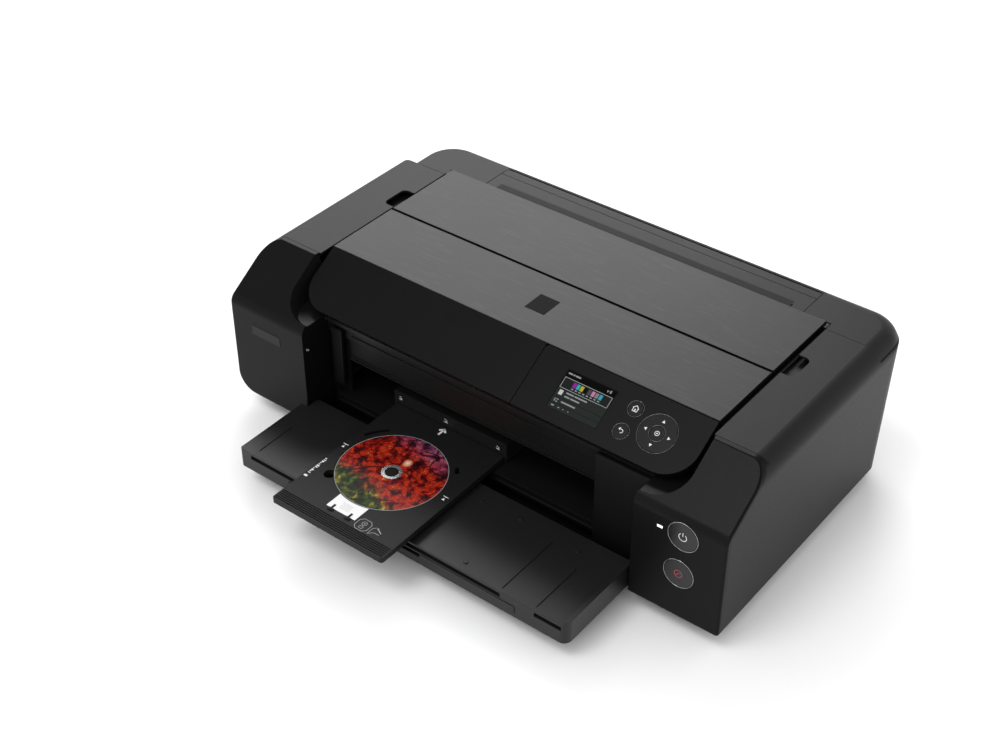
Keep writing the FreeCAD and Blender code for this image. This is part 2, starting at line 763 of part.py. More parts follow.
def panel_housing():
    low = -cover_skin - housing_depth
    left, right = panel_left_x + shell_wall + 2.0, cover_half_width - 16.0
    rear, front = -panel_top_s - shell_wall - 3.0, -slope_length + 10.0
    tub = box(left, right, front, rear, low, -cover_skin)
    tub = tub.cut(box(left + housing_wall, right - housing_wall, front + housing_wall, rear - housing_wall,
                      low + housing_wall, 0))
    board = box(left + housing_wall, right - housing_wall, front + housing_wall, rear - housing_wall,
                low + housing_wall, low + housing_wall + 1.6)
    seat = box(screen_left_x + 6, screen_left_x + screen_width - 6, -screen_top_s - screen_height + 6,
               -screen_top_s - 6, low + housing_wall + 1.6, -screen_thickness - 0.15)
    return on_slope(fuse(tub, board, seat))


def display_screen():
    return on_slope(box(screen_left_x, screen_left_x + screen_width, -screen_top_s - screen_height, -screen_top_s,
                        -screen_thickness - 0.15, -0.15))


def key_underside(x, s, radius):
    """Retaining flange and stem below a key."""
    board_top = -cover_skin - housing_depth + housing_wall + 1.6
    flange = rod_z(-cover_skin - slide_gap - 1.0, -cover_skin - slide_gap, x, -s, radius)
    stem = rod_z(board_top + key_travel + roll_gap, -cover_skin - slide_gap, x, -s, 3.0)
    return flange.fuse(stem)


def round_key(x, s):
    cap = rod_z(-cover_skin - slide_gap, key_proud, x, -s, key_radius)
    cap = cap.makeFillet(0.3, [e for e in cap.Edges if e.BoundBox.ZMin > key_proud - 0.01])
    return on_slope(fuse(cap, key_underside(x, s, key_radius + 1.6)))


def ok_button():
    cap = rod_z(-cover_skin - slide_gap - 1.0, key_proud, ok_key_x, -ok_key_s, key_radius)
    cap = cap.makeFillet(0.3, [e for e in cap.Edges if e.BoundBox.ZMin > key_proud - 0.01])
    board_top = -cover_skin - housing_depth + housing_wall + 1.6
    stem = rod_z(board_top + key_travel + roll_gap, -cover_skin - slide_gap, ok_key_x, -ok_key_s, 3.0)
    return on_slope(fuse(cap, stem))


def navigation_ring():
    inner_radius = key_radius + roll_gap
    cap = rod_z(-cover_skin - slide_gap, key_proud, ok_key_x, -ok_key_s, ring_radius)
    cap = cap.makeFillet(0.3, [e for e in cap.Edges if e.BoundBox.ZMin > key_proud - 0.01])
    flange = rod_z(-cover_skin - slide_gap - 1.0, -cover_skin - slide_gap, ok_key_x, -ok_key_s, ring_radius + 1.6)
    board_top = -cover_skin - housing_depth + housing_wall + 1.6
    ring = fuse(cap, flange)
    for turn in range(4):
        angle = turn * pi / 2
        x = ok_key_x + 14.0 * cos(angle)
        s = ok_key_s + 14.0 * sin(angle)
        ring = ring.fuse(rod_z(board_top + key_travel + roll_gap, -cover_skin, x, -s, 1.6))
    ring = ring.cut(rod_z(-20, 5, ok_key_x, -ok_key_s, inner_radius))
    return on_slope(ring.removeSplitter())


# ---- top cover ----------------------------------------------------------------
def top_cover():
    half = cover_half_width - 1.5
    low = side_top - top_cover_frame
    tray = box(-half, half, top_cover_front_y + 0.4, top_cover_rear_y - 0.4, low, side_top)
    tray = tray.cut(box(-half + 2, half - 2, top_cover_front_y + 2.4, hinge_y - 6.0, low - 1, side_top - 2.0))
    for x in (-150.0, -50.0, 50.0, 150.0):
        tray = tray.fuse(box(x - 1, x + 1, top_cover_front_y + 2, hinge_y - 5.0, low, side_top - 1.0))
    for side in (-1, 1):
        inner = side * (half - 4.0)
        outer = side * (lug_outer_x - 0.4)
        tray = tray.fuse(rod_x(min(inner, outer), max(inner, outer), hinge_y, hinge_z, hinge_pin_radius))
    edge = box(-half - 1, half + 1, top_cover_rear_y - 2.4, top_cover_rear_y + 1, low - 1, low + 1.6)
    return tray.cut(edge).cut(box(-left_reach, right_reach, 0, back_y, side_top, trim_top + 9)).removeSplitter()


def top_cover_trim_plate():
    plate = box(-cover_half_width, cover_half_width, top_cover_front_y, top_cover_rear_y, side_top, trim_top)
    rear = [e for e in plate.Edges
            if e.BoundBox.ZMin > trim_top - 0.01 and e.BoundBox.YMin > top_cover_rear_y - 0.01]
    return plate.makeFillet(1.5, rear)


# ---- rear paper support ---------------------------------------------------------
support_x = (support_left_x + support_right_x) / 2
support_hang_z = side_top - support_cap


def paper_support():
    cap = box(support_left_x, support_right_x, support_front_y, support_bar_front_y - 0.6, support_hang_z, side_top)
    grip = box(support_left_x + 37.0, support_right_x - 15.0, support_front_y - 1, support_front_y + 6.0,
               side_top - 1.0, side_top + 1)
    plate = box(support_left_x + 2.0, support_right_x - 2.0, support_plate_y, support_plate_y + support_plate,
                support_hang_z - support_plate_length, support_hang_z + 1.5)
    plate = tilted(plate, support_plate_y, support_hang_z)
    rear_y = extension_plate_y + extension_plate + slide_gap
    rails = []
    for side in (-1, 1):
        edge = extension_half_width + slide_gap
        web = box(edge, edge + 2.0, support_plate_y + support_plate - 0.5, rear_y + 1.2,
                  support_hang_z - extension_plate_length + 10, support_hang_z - 12)
        lip = box(edge - 5.0, edge + 1.0, rear_y, rear_y + 1.2,
                  support_hang_z - extension_plate_length + 10, support_hang_z - 12)
        for piece in (web, lip):
            placed = piece if side > 0 else mirrored(piece)
            placed = placed.translated(Vector(support_x, 0, 0))
            rails.append(tilted(placed, support_plate_y, support_hang_z))
    return fuse(cap.cut(grip), plate, *rails)


def paper_support_extension():
    bar = rear_cover_blank(0).cut(rear_cover_blank(support_bar_depth))
    bar = bar.common(box(support_left_x, support_right_x, support_bar_front_y, support_bar_rear_y,
                         support_slot_low + 0.6, side_top + 1))
    plate = box(support_x - extension_half_width, support_x + extension_half_width, extension_plate_y,
                extension_plate_y + extension_plate, support_hang_z - extension_plate_length, support_hang_z + 1.0)
    return fuse(bar, tilted(plate, support_plate_y, support_hang_z))


def support_line_y(z):
    """Front face of the support plate at height z."""
    return support_plate_y - (support_hang_z - z) * tan(radians(support_tilt))


def rear_feed_frame():
    left, right = support_left_x + 2.0, support_right_x - 2.0
    low, high = 58.0, rear_cover_bottom - 1.0
    wall_y = 97.0
    rear = main_rear_y - shell_wall - seam_gap
    pieces = []
    for x in (left - seam_gap - 3.0, right + seam_gap):
        pieces.append(box(x, x + 3.0, wall_y, rear, low, high))
        pieces.append(box(x, x + 3.0, wall_y - 20, wall_y, low, low + 30.0))
    for x_low, x_high in ((left - seam_gap, left + 4.0), (right - 4.0, right + seam_gap)):
        for y in (support_plate_y - slide_gap - 2.0, support_plate_y + support_plate + slide_gap):
            rib = box(x_low, x_high, y, y + 2.0, support_hang_z - 108.0, support_hang_z - 14.0)
            pieces.append(tilted(rib, support_plate_y, support_hang_z))
    front_wall = box(left - 1, right + 1, wall_y, wall_y + 2.5, 112.0, high)
    front_wall = front_wall.cut(box(left + 20, right - 20, wall_y - 1, wall_y + 4, rack_slot_low, rack_slot_high))
    floor = box(left - 1, right + 1, wall_y + 8.0, rear, low, low + 2.5)
    ramp = prism_x([(wall_y - 20.0, low, 0), (wall_y + 9.0, low, 0), (wall_y + 9.0, low + 6.0, 0),
                    (wall_y - 20.0, low + 2.5, 0)], left - 1, right + 1)
    pieces += [front_wall, floor, ramp]
    frame = fuse(*pieces)
    for x in (left - 2.0, right + 2.0):
        frame = frame.cut(rod_x(x - 6, x + 6, pickup_y, pickup_z, shaft_radius + running_gap))
    return frame


pickup_y = 104.0
pickup_z = 92.0
pickup_radius = 13.0


def pickup_roller():
    shaft = rod_x(support_left_x - 1.0, support_right_x + 1.0, pickup_y, pickup_z, shaft_radius)
    pieces = [shaft]
    for x in (support_x - 46.0, support_x + 26.0):
        tyre = rod_x(x, x + 20.0, pickup_y, pickup_z, pickup_radius)
        flat = box(x - 1, x + 21, pickup_y - 20, pickup_y + 20, pickup_z + pickup_radius - 4.0, pickup_z + 20)
        pieces.append(tyre.cut(flat))
    return fuse(*pieces)


def paper_guide(side):
    inner = support_x + side * guide_half_spread
    low, high = 114.0, 172.0
    wall_face = 97.0 + 2.5 + slide_gap
    corners = [(wall_face, low, 0), (support_line_y(low) - 3.0, low, 0), (support_line_y(high) - 3.0, high, 0),
               (wall_face, high, 0)]
    plate = prism_x(corners, min(inner, inner + side * guide_plate), max(inner, inner + side * guide_plate))
    tongue_low = rack_slot_low + slide_gap if side < 0 else (rack_slot_low + rack_slot_high) / 2 + 0.2
    tongue_high = (rack_slot_low + rack_slot_high) / 2 - 0.2 if side < 0 else rack_slot_high - slide_gap
    x_low = min(inner, inner - side * 12.0) if side > 0 else inner - guide_plate
    x_high = x_low + 12.0 + guide_plate
    tongue = box(x_low, x_high, 97.0 - 5.0, wall_face + 1.0, tongue_low, tongue_high)
    hook = box(x_low, x_high, 97.0 - 5.0, 97.0 - slide_gap, tongue_low - (2.0 if side < 0 else 0),
               tongue_high + (2.0 if side > 0 else 0))
    return fuse(plate, tongue, hook)


# ---- gears ----------------------------------------------------------------------
def gear(teeth, phase, x_low, x_high, y, z):
    """A spur gear on an X axis. phase 0 puts a tooth on +Y, phase 0.5 a gap."""
    pitch_radius = gear_module * teeth / 2
    base_radius = pitch_radius * cos(radians(pressure_angle))
    root_radius = pitch_radius - 1.25 * gear_module
    tip_radius = pitch_radius + gear_module
    pitch_angle = 2 * pi / teeth
    involute = tan(radians(pressure_angle)) - radians(pressure_angle)
    half_tooth = pitch_angle / 4 - gear_backlash / 2 / pitch_radius + involute
    flank_low = max(root_radius, base_radius)
    steps = 4
    points = []
    for tooth in range(teeth):
        middle = (tooth + phase) * pitch_angle
        flank = []
        if root_radius < base_radius:
            flank.append((root_radius, half_tooth))
        for step in range(steps + 1):
            radius = flank_low + (tip_radius - flank_low) * step / steps
            roll = acos(min(1.0, base_radius / radius))
            flank.append((radius, half_tooth - (tan(roll) - roll)))
        for radius, angle in flank:
            points.append((radius, middle - angle))
        for radius, angle in reversed(flank):
            points.append((radius, middle + angle))
    corners = [(y + r * cos(a), z + r * sin(a), 0) for r, a in points]
    return prism_x(corners, x_low, x_high)


roller_pitch = gear_module * roller_gear_teeth / 2
idler_pitch = gear_module * idler_gear_teeth / 2
pinion_pitch = gear_module * pinion_teeth / 2
idler_gear_y = feed_roller_y - roller_pitch - idler_pitch
exit_roller_y = idler_gear_y - idler_pitch - roller_pitch
motor_y = feed_roller_y + roller_pitch + pinion_pitch
gear_right_x = gear_left_x + gear_width


def roller_with_gear(y, bands):
    shaft = rod_x(-chassis_x - sheet_metal - 2.0, station_left_x + 5.0, y, roller_axis_z, shaft_radius)
    pieces = [shaft, gear(roller_gear_teeth, 0, gear_left_x, gear_right_x, y, roller_axis_z)]
    for x_low, x_high in bands:
        pieces.append(rod_x(x_low, x_high, y, roller_axis_z, roller_radius))
    return fuse(*pieces)


def feed_roller():
    return roller_with_gear(feed_roller_y, [(path_left_x, path_right_x)])


def exit_roller():
    bands = []
    count = 9
    for i in range(count):
        start = path_left_x + 12.0 + i * (path_right_x - path_left_x - 40.0) / (count - 1)
        bands.append((start, start + 16.0))
    return roller_with_gear(exit_roller_y, bands)


def idler_gear():
    wheel = gear(idler_gear_teeth, 0.5, gear_left_x, gear_right_x, idler_gear_y, roller_axis_z)
    return wheel.cut(rod_x(gear_left_x - 1, gear_right_x + 1, idler_gear_y, roller_axis_z, shaft_radius + running_gap))


def motor_pinion():
    wheel = gear(pinion_teeth, 0.5, gear_left_x, gear_right_x, motor_y, roller_axis_z)
    return fuse(wheel, rod_x(gear_right_x, gear_right_x + 16.0, motor_y, roller_axis_z, pinch_shaft_radius))


def feed_motor():
    face_x = gear_right_x + 3.0
    can = rod_x(face_x, face_x + 34.0, motor_y, roller_axis_z, 16.0)
    can = can.makeFillet(2.0, [e for e in can.Edges if e.BoundBox.XMin > face_x + 33.9])
    reach = 13.0
    flange = box(face_x, face_x + 2.0, motor_y - 8, motor_y + reach + 4, roller_axis_z - reach - 4,
                 roller_axis_z + reach + 4)
    posts = [rod_x(-chassis_x, face_x, motor_y + reach, roller_axis_z + offset, 3.0) for offset in (-reach, reach)]
    bore = rod_x(face_x - 1, face_x + 14.0, motor_y, roller_axis_z, pinch_shaft_radius + running_gap)
    return fuse(can, flange, *posts).cut(bore)


# ---- rollers above the path --------------------------------------------------------
lift_z = disc_tray_top_z + slide_gap
pinch_z = lift_z + pinch_radius
star_z = lift_z + star_radius


def pinch_rollers():
    pieces = [rod_x(path_left_x - 3.0, path_right_x + 5.0, feed_roller_y, pinch_z, pinch_shaft_radius)]
    count = 8
    for i in range(count):
        start = path_left_x + 12.0 + i * (path_right_x - path_left_x - 50.0) / (count - 1)
        pieces.append(rod_x(start, start + 26.0, feed_roller_y, pinch_z, pinch_radius))
    return fuse(*pieces)


def pinch_roller_holder():
    beam_low, beam_high = 67.0, 76.0
    beam = box(-chassis_x, chassis_x, 30.0, 44.0, beam_low, beam_high)
    beam = beam.cut(box(-chassis_x - 1, chassis_x + 1, 32.0, 42.0, beam_low - 1, beam_high - 2.0))
    pieces = [beam]
    for x in (path_left_x - 4.0, path_right_x + 3.0):
        ear = box(x, x + 3.0, feed_roller_y - 4.0, 31.0, pinch_z - 4.0, beam_high)
        hole = rod_x(x - 1, x + 4, feed_roller_y, pinch_z, pinch_shaft_radius + running_gap)
        pieces.append(ear.cut(hole))
    return fuse(*pieces)


def star_wheels():
    pieces = [rod_x(path_left_x - 3.0, path_right_x + 5.0, exit_roller_y, star_z, star_shaft_radius)]
    count = 14
    spikes = 12
    for i in range(count):
        x = path_left_x + 14.0 + i * (path_right_x - path_left_x - 34.0) / (count - 1)
        corners = []
        for spike in range(spikes):
            for radius, offset in ((star_radius, 0.0), (star_radius - 1.4, 0.5)):
                angle = (spike + offset) * 2 * pi / spikes
                corners.append((exit_roller_y + radius * cos(angle), star_z + radius * sin(angle), 0))
        pieces.append(prism_x(corners, x, x + 1.0))
        pieces.append(rod_x(x - 1.5, x + 2.5, exit_roller_y, star_z, 2.6))
    return fuse(*pieces)


def platen():
    left, right = path_left_x - 2.0, path_right_x + 4.0
    front, rear = exit_roller_y + roller_radius + 3.0, feed_roller_y - roller_radius - 3.0
    top = path_z - 0.3
    plate = box(left, right, front, rear, top - 6.0, top - 2.0)
    pieces = [plate]
    count = 17
    for i in range(count):
        x = left + 4.0 + i * (right - left - 10.0) / (count - 1)
        pieces.append(box(x, x + 2.0, front, rear, top - 2.0, top))
    for x in (left, right - 3.0):
        pieces.append(box(x, x + 3.0, front + 4, rear - 4, pan_floor_top, top - 6.0))
    return fuse(*pieces)


def front_frame():
    """Inner front casing: the mouth's walls, the lower exit shelf and the star wheel holder."""
    side_x = tower_inner_x - seam_gap
    wall_y = -146.0
    mouth_left, mouth_right = -188.0, 150.0
    mouth_low, mouth_high = path_z - 0.1, 93.0
    top_z = 143.0
    lip_y = -155.0
    right_plate_y = -160.0
    step_z = 124.0
    pieces = [
        box(-side_x, side_x, wall_y, wall_y + 3.0, mouth_high, top_z),
        box(-side_x, side_x, wall_y - 3.0, wall_y + 1.0, step_z, top_z),
        box(-side_x, side_x, lip_y, wall_y + 12.0, top_z - 2.0, top_z + 2.4),
        box(-side_x, mouth_left, wall_y, wall_y + 3.0, pan_floor_top, mouth_high),
        box(mouth_right, side_x, right_plate_y, right_plate_y + 3.0, shell_bottom + 6.0, top_z),
        box(mouth_right, mouth_right + 3.0, right_plate_y, wall_y + 3.0, shell_bottom + 6.0, top_z),
        box(mouth_right, side_x, wall_y, wall_y + 3.0, pan_floor_top, mouth_high),
        box(-204.0, -190.0, lip_y, lip_y + 3.0, 62.0, top_z - 8.0),
        box(-204.0, -201.0, lip_y, wall_y + 1.0, 62.0, top_z - 8.0),
        box(-203.0, mouth_right, lip_y, -96.0, mouth_low - 3.0, mouth_low),
        box(-203.0, mouth_right, lip_y, lip_y + 3.0, 34.0, mouth_low),
        box(mouth_left - 1, mouth_right + 1, wall_y + 9.0, wall_y + 12.0, pan_floor_top, mouth_low - 2.0),
        box(-side_x, side_x, wall_y, wall_y + 12.0, pan_floor_top, pan_floor_top + 3.0),
    ]
    for low_z in (38.0, mouth_low - 1.6):
        pieces.append(box(-200.0, mouth_right - 2.0, lip_y - 1.6, lip_y, low_z, low_z + 1.6))
    pieces.append(box(-180.0, 76.0, wall_y - 4.4, wall_y - 3.0, step_z + 4.6, step_z + 6.2))
    for low_z in (mouth_high + 2.4, mouth_high + 6.0):
        pieces.append(box(mouth_left, mouth_right, wall_y - 1.6, wall_y, low_z, low_z + 1.4))
    beam_low, beam_high = 68.0, 74.0
    beam_front, beam_rear = exit_roller_y - 10.0, exit_roller_y + 22.0
    pieces.append(box(-chassis_x, chassis_x, beam_front, beam_rear, beam_high - 2.5, beam_high))
    for x in (path_left_x - 4.0, path_right_x + 3.0):
        ear = box(x, x + 3.0, exit_roller_y - 4.0, exit_roller_y + 4.0, star_z - 3.5, beam_high)
        hole = rod_x(x - 1, x + 4, exit_roller_y, star_z, star_shaft_radius + running_gap)
        pieces.append(ear.cut(hole))
    for x in (mouth_left - 6.0, mouth_right + 4.0):
        pieces.append(box(x, x + 4.0, wall_y + 2.0, beam_front + 1, beam_low, beam_high))
    for x_low, x_high in guide_brackets():
        bracket = box(x_low, x_high, guide_hinge_y - 6.0, beam_front + 1.0, guide_hinge_z - 6.0, beam_high)
        bracket = bracket.cut(rod_x(x_low - 1, x_high + 1, guide_hinge_y, guide_hinge_z,
                                    guide_pin_radius + running_gap))
        pieces.append(bracket)
    return fuse(*pieces)


def guide_edges():
    return (disc_tray_left_x - guide_side_gap - guide_rib, disc_tray_right_x + guide_side_gap + guide_rib)


def guide_brackets():
    left, right = guide_edges()
    return ((left - slide_gap - 5.0, left - slide_gap), (right + slide_gap, right + slide_gap + 5.0))


def disc_tray_guide():
    left, right = guide_edges()
    rear = guide_hinge_y + 2.5
    rib_low = path_z + 0.7
    top = box(left, right, guide_front_y, rear, guide_top_z - 2.5, guide_top_z)
    face = box(left, right, guide_front_y, guide_front_y + 2.5, disc_tray_top_z + 1.6, guide_top_z)
    pieces = [top, face]
    for x in (left, right - guide_rib):
        pieces.append(box(x, x + guide_rib, guide_front_y, guide_hinge_y - 4.0, rib_low, guide_top_z))
    for x_low, x_high in ((left - 4.6, left + 3.0), (right - 3.0, right + 4.6)):
        pieces.append(rod_x(x_low, x_high, guide_hinge_y, guide_hinge_z, guide_pin_radius))
    return fuse(*pieces)


# ---- disc tray and disc ---------------------------------------------------------
def ring_slot(start, end):
    """A slot through the tray that follows the disc's edge between two angles in degrees."""
    low, high = disc_tray_bottom_z - 1, disc_tray_top_z + 1
    far = 2 * tray_slot_outer
    wedge = prism_z([(disc_x, disc_y, 0)] + [(disc_x + far * cos(radians(turn)), disc_y + far * sin(radians(turn)), 0)
                                             for turn in (start, end)], low, high)
    ring = rod_z(low, high, disc_x, disc_y, tray_slot_outer).cut(rod_z(low, high, disc_x, disc_y, tray_slot_inner))
    return ring.common(wedge)


def disc_tray():
    rear = disc_tray_front_y + disc_tray_length
    plate = slab(disc_tray_left_x, disc_tray_right_x, disc_tray_front_y, rear, disc_tray_bottom_z, disc_tray_top_z, 3.0)
    seat = rod_z(disc_seat_z, disc_tray_top_z + 1, disc_x, disc_y, disc_radius + disc_seat_gap)
    hub = rod_z(disc_seat_z - 0.5, disc_tray_top_z - 0.2, disc_x, disc_y, disc_hole_radius - roll_gap)
    finger = rod_z(disc_tray_bottom_z - 1, disc_tray_top_z + 1, finger_hole_x, finger_hole_y, finger_hole_radius)
    plate = plate.cut(seat).cut(finger).fuse(hub)
    for start, end in tray_slot_turns:
        plate = plate.cut(ring_slot(start, end))
    for i in range(grip_groove_count):
        y = disc_tray_front_y + 2.0 + i * grip_groove_pitch
        plate = plate.cut(box(disc_tray_left_x + 2, disc_tray_right_x - 2, y, y + grip_groove_width,
                              disc_tray_top_z - grip_groove_depth, disc_tray_top_z + 1))
    return plate.removeSplitter()


def disc():
    low = disc_seat_z + 0.1
    plate = rod_z(low, low + disc_thickness, disc_x, disc_y, disc_radius)
    return plate.cut(rod_z(low - 1, low + 3, disc_x, disc_y, disc_hole_radius))


# ---- output tray ----------------------------------------------------------------
tray_grooves = ((131.5, -284.0, -200.0), (173.0, -284.0, -217.0), (-200.0, -280.0, -230.0))
tray_slots = ((-205.0, 131.5), (173.0, 205.0))
tray_studs = ((80.2, -277.2), (36.9, -196.9), (85.2, -194.0), (158.5, -196.6))


def output_tray():
    blank = prism_z([(-tray_half_width, tray_rear_y, 3.0), (-tray_half_width, tray_ear_rear_y, 0),
                     (tray_left_x, tray_ear_rear_y, 1.5), (tray_left_x, tray_front_y, 3.0),
                     (tray_half_width, tray_front_y, tray_corner_radius), (tray_half_width, tray_rear_y, 3.0)],
                    tray_bottom_z, tray_rim_z)
    rim_low = [e for e in blank.Edges if e.BoundBox.ZMax < tray_bottom_z + 0.01
               and e.BoundBox.YMax < tray_ear_rear_y - 2]
    blank = blank.makeFillet(1.0, rim_low)
    well = box(tray_left_x - 1, tray_half_width - tray_rim, tray_front_y - 1, tray_rear_y + 20,
               tray_floor_z, tray_rim_z + 1)
    cavity = box(-slide_plate_half_width - slide_gap, slide_plate_half_width + slide_gap, tray_front_y - 1,
                 tray_rear_y - shell_wall, slide_plate_low - slide_gap, slide_plate_high + slide_gap)
    hollow = box(-tray_half_width + shell_wall, tray_half_width - shell_wall, tray_front_y + 10.0,
                 tray_rear_y - shell_wall, slide_plate_high + slide_gap + 2.0, tray_floor_z - 2.0)
    tray = cut(blank, well, cavity, hollow)
    for x, front, rear in tray_grooves:
        tray = tray.cut(box(x - tray_groove / 2, x + tray_groove / 2, front, rear,
                            tray_floor_z - tray_groove_depth, tray_floor_z + 1))
    for x_low, x_high in tray_slots:
        tray = tray.cut(box(x_low, x_high, tray_front_y - 1, tray_front_y + tray_edge_slot_depth,
                            tray_edge_slot_low, tray_edge_slot_high))
    tray = tray.cut(box(tray_left_x - 1, tray_left_x + tray_edge_slot_depth, tray_front_y + 3.0, tray_ear_rear_y - 3.0,
                        tray_edge_slot_low, tray_edge_slot_high))
    for x, y in tray_studs:
        tray = tray.fuse(rod_z(tray_floor_z - 1, tray_floor_z + 0.8, x, y, tray_stud_radius))
    for side in (-1, 1):
        pin = rod_x(tray_half_width - 4.0, tower_inner_x + shell_wall - 0.3, tray_hinge_y, tray_hinge_z, tray_pin_radius)
        tray = tray.fuse(pin if side > 0 else mirrored(pin))
    return tray.removeSplitter()


def output_tray_extension():
    plate = slab(-slide_plate_half_width, slide_plate_half_width, tray_front_y - 0.5, tray_rear_y - shell_wall - 4.0,
                 slide_plate_low, slide_plate_high, 2.0)
    grip = box(-30, 30, tray_front_y - 1, tray_front_y + 6.0, slide_plate_low + 4.0, slide_plate_high + 1)
    window = box(-slide_plate_half_width + 12, slide_plate_half_width - 12, tray_front_y + 16.0, tray_rear_y - 18.0,
                 slide_plate_low + 2.0, slide_plate_high + 1)
    return plate.cut(grip).cut(window)


# ---- chassis ----------------------------------------------------------------------
def chassis_plate(side):
    front, rear = exit_roller_y - 19.0, support_front_y - 2.0
    x = chassis_x
    plate = box(x, x + sheet_metal, front, rear, pan_rim_z, frame_plate_bottom)
    foot = box(x - 14.0, x, front + 10, rear - 10, pan_rim_z, pan_rim_z + sheet_metal)
    window = slab(x - 1, x + 4, -60.0, 20.0, 90.0, 150.0, 1.0)
    upper_corner = box(x - 1, x + 4, side_cover_top_rear_y - shell_wall - seam_gap, rear + 1,
                       rear_cover_bottom - rear_cover_shelf - seam_gap, frame_plate_bottom + 1)
    plate = plate.cut(window).cut(upper_corner)
    plate = plate.cut(rod_x(x - 1, x + 4, rail_shaft_y, rail_shaft_z, rail_shaft_radius))
    if side > 0:
        return fuse(plate, foot)
    foot = foot.cut(box(x - 20, x, front, motor_y + 30, 0, pan_rim_z + 5))
    plate = mirrored(fuse(plate, foot))
    for y in (feed_roller_y, exit_roller_y):
        plate = plate.cut(rod_x(-x - 4, -x + 1, y, roller_axis_z, shaft_radius + running_gap))
    return fuse(plate, rod_x(-x, gear_right_x + 2.0, idler_gear_y, roller_axis_z, shaft_radius))


def carriage_rail():
    web = box(-chassis_x, chassis_x, rail_y, rail_y + sheet_metal, rail_low_z, rail_top_z)
    flange = box(-chassis_x, chassis_x, belt_y - 2.0, rail_y, rail_top_z - sheet_metal, rail_top_z)
    foot = box(-chassis_x, chassis_x, rail_y, rail_y + 10.0, rail_low_z, rail_low_z + sheet_metal)
    rail = fuse(web, flange, foot)
    rail = rail.cut(rod_y(rail_y - 1, rail_y + 5, pulley_x, pulley_z, 6.0))
    return rail.cut(rod_y(rail_y - 1, rail_y + 5, -pulley_x, pulley_z, pinch_shaft_radius + running_gap))


def guide_shaft():
    return rod_x(-chassis_x - sheet_metal, chassis_x + sheet_metal, rail_shaft_y, rail_shaft_z, rail_shaft_radius)


def carriage():
    half = carriage_half_width
    x = carriage_home_x
    floor_top = carriage_floor_z + carriage_wall
    floor = box(x - half, x + half, carriage_front_y, carriage_rear_y, carriage_floor_z, floor_top)
    floor = floor.cut(box(x - 51, x + 51, carriage_front_y + 5.0, -6.0, carriage_floor_z - 1, floor_top + 1))
    rear_wall = box(x - half, x + half, carriage_rear_y - carriage_wall, carriage_rear_y, floor_top, 136.0)
    front_wall = box(x - half, x + half, carriage_front_y, carriage_front_y + 2.5, floor_top, 100.0)
    pieces = [floor, rear_wall, front_wall]
    for wall_x in (x - half, x + half - carriage_wall):
        pieces.append(box(wall_x, wall_x + carriage_wall, carriage_front_y, carriage_rear_y, floor_top, 120.0))
    for boss_x in (x - half, x + half - 16.0):
        boss = rod_x(boss_x, boss_x + 16.0, rail_shaft_y, rail_shaft_z, bush_radius)
        web = box(boss_x, boss_x + 16.0, carriage_rear_y - 1, rail_shaft_y, rail_shaft_z - 6, rail_shaft_z + 6)
        pieces.append(fuse(boss, web))
    hook_top = rail_top_z - sheet_metal - slide_gap
    pieces.append(box(x - 15, x + 15, carriage_rear_y - carriage_wall, carriage_rear_y, 135.0, hook_top))
    pieces.append(box(x - 15, x + 15, carriage_rear_y - 1, rail_y - 6.0, hook_top - 3.0, hook_top))
    clamp_top = pulley_z - pulley_radius - roll_gap - belt_thickness - roll_gap
    pieces.append(box(x - 12, x + 12, carriage_rear_y - 1, belt_y + belt_width - 1.0, clamp_top - 5.0, clamp_top))
    bore = rod_x(x - half - 1, x + half + 1, rail_shaft_y, rail_shaft_z, rail_shaft_radius + running_gap)
    return fuse(*pieces).cut(bore)


def print_head():
    x = carriage_home_x
    nozzle = box(x - 50, x + 50, carriage_front_y + 6.0, -7.0, head_bottom_z, carriage_floor_z + carriage_wall)
    manifold = box(x - 55, x + 55, carriage_front_y + 3.0, carriage_rear_y - 4.0, carriage_floor_z + carriage_wall,
                   carriage_floor_z + carriage_wall + 3.0)
    return fuse(nozzle, manifold)


def ink_tanks():
    low = carriage_floor_z + carriage_wall + 3.0 + 0.2
    first = carriage_home_x - tank_pitch * tank_count / 2 + (tank_pitch - tank_width) / 2
    tanks = []
    for i in range(tank_count):
        x = first + i * tank_pitch
        tank = prism_x([(carriage_front_y + 4.0, low, 1.0), (carriage_rear_y - 6.0, low, 1.0),
                        (carriage_rear_y - 6.0, tank_top_z, 3.0), (carriage_front_y + 14.0, tank_top_z, 4.0),
                        (carriage_front_y + 4.0, tank_top_z - 14.0, 3.0)], x, x + tank_width)
        tanks.append(tank)
    return Part.makeCompound(tanks)


def timing_belt():
    inner = pulley_radius + roll_gap
    outer = inner + belt_thickness

    def loop(radius):
        corners = [(-pulley_x - radius, pulley_z - radius, radius), (pulley_x + radius, pulley_z - radius, radius),
                   (pulley_x + radius, pulley_z + radius, radius), (-pulley_x - radius, pulley_z + radius, radius)]
        return prism_y(corners, belt_y, belt_y + belt_width)

    return loop(outer).cut(loop(inner))


def pulley(x, shaft_front, shaft_rear):
    tread = rod_y(belt_y - 0.5, belt_y + belt_width + 0.5, x, pulley_z, pulley_radius)
    shaft = rod_y(shaft_front, shaft_rear, x, pulley_z, pinch_shaft_radius)
    rim_front = rod_y(belt_y - 1.5, belt_y - roll_gap, x, pulley_z, pulley_radius + 2.0)
    rim_rear = rod_y(belt_y + belt_width + roll_gap, belt_y + belt_width + 1.5, x, pulley_z, pulley_radius + 2.0)
    flat = box(x + 1.4, x + 4, shaft_front - 1, shaft_front + 3.0, pulley_z - 4, pulley_z + 4)
    return fuse(tread, shaft, rim_front, rim_rear).cut(flat)


def drive_pulley():
    return pulley(pulley_x, belt_y - 4.0, rail_y + sheet_metal + 14.0)


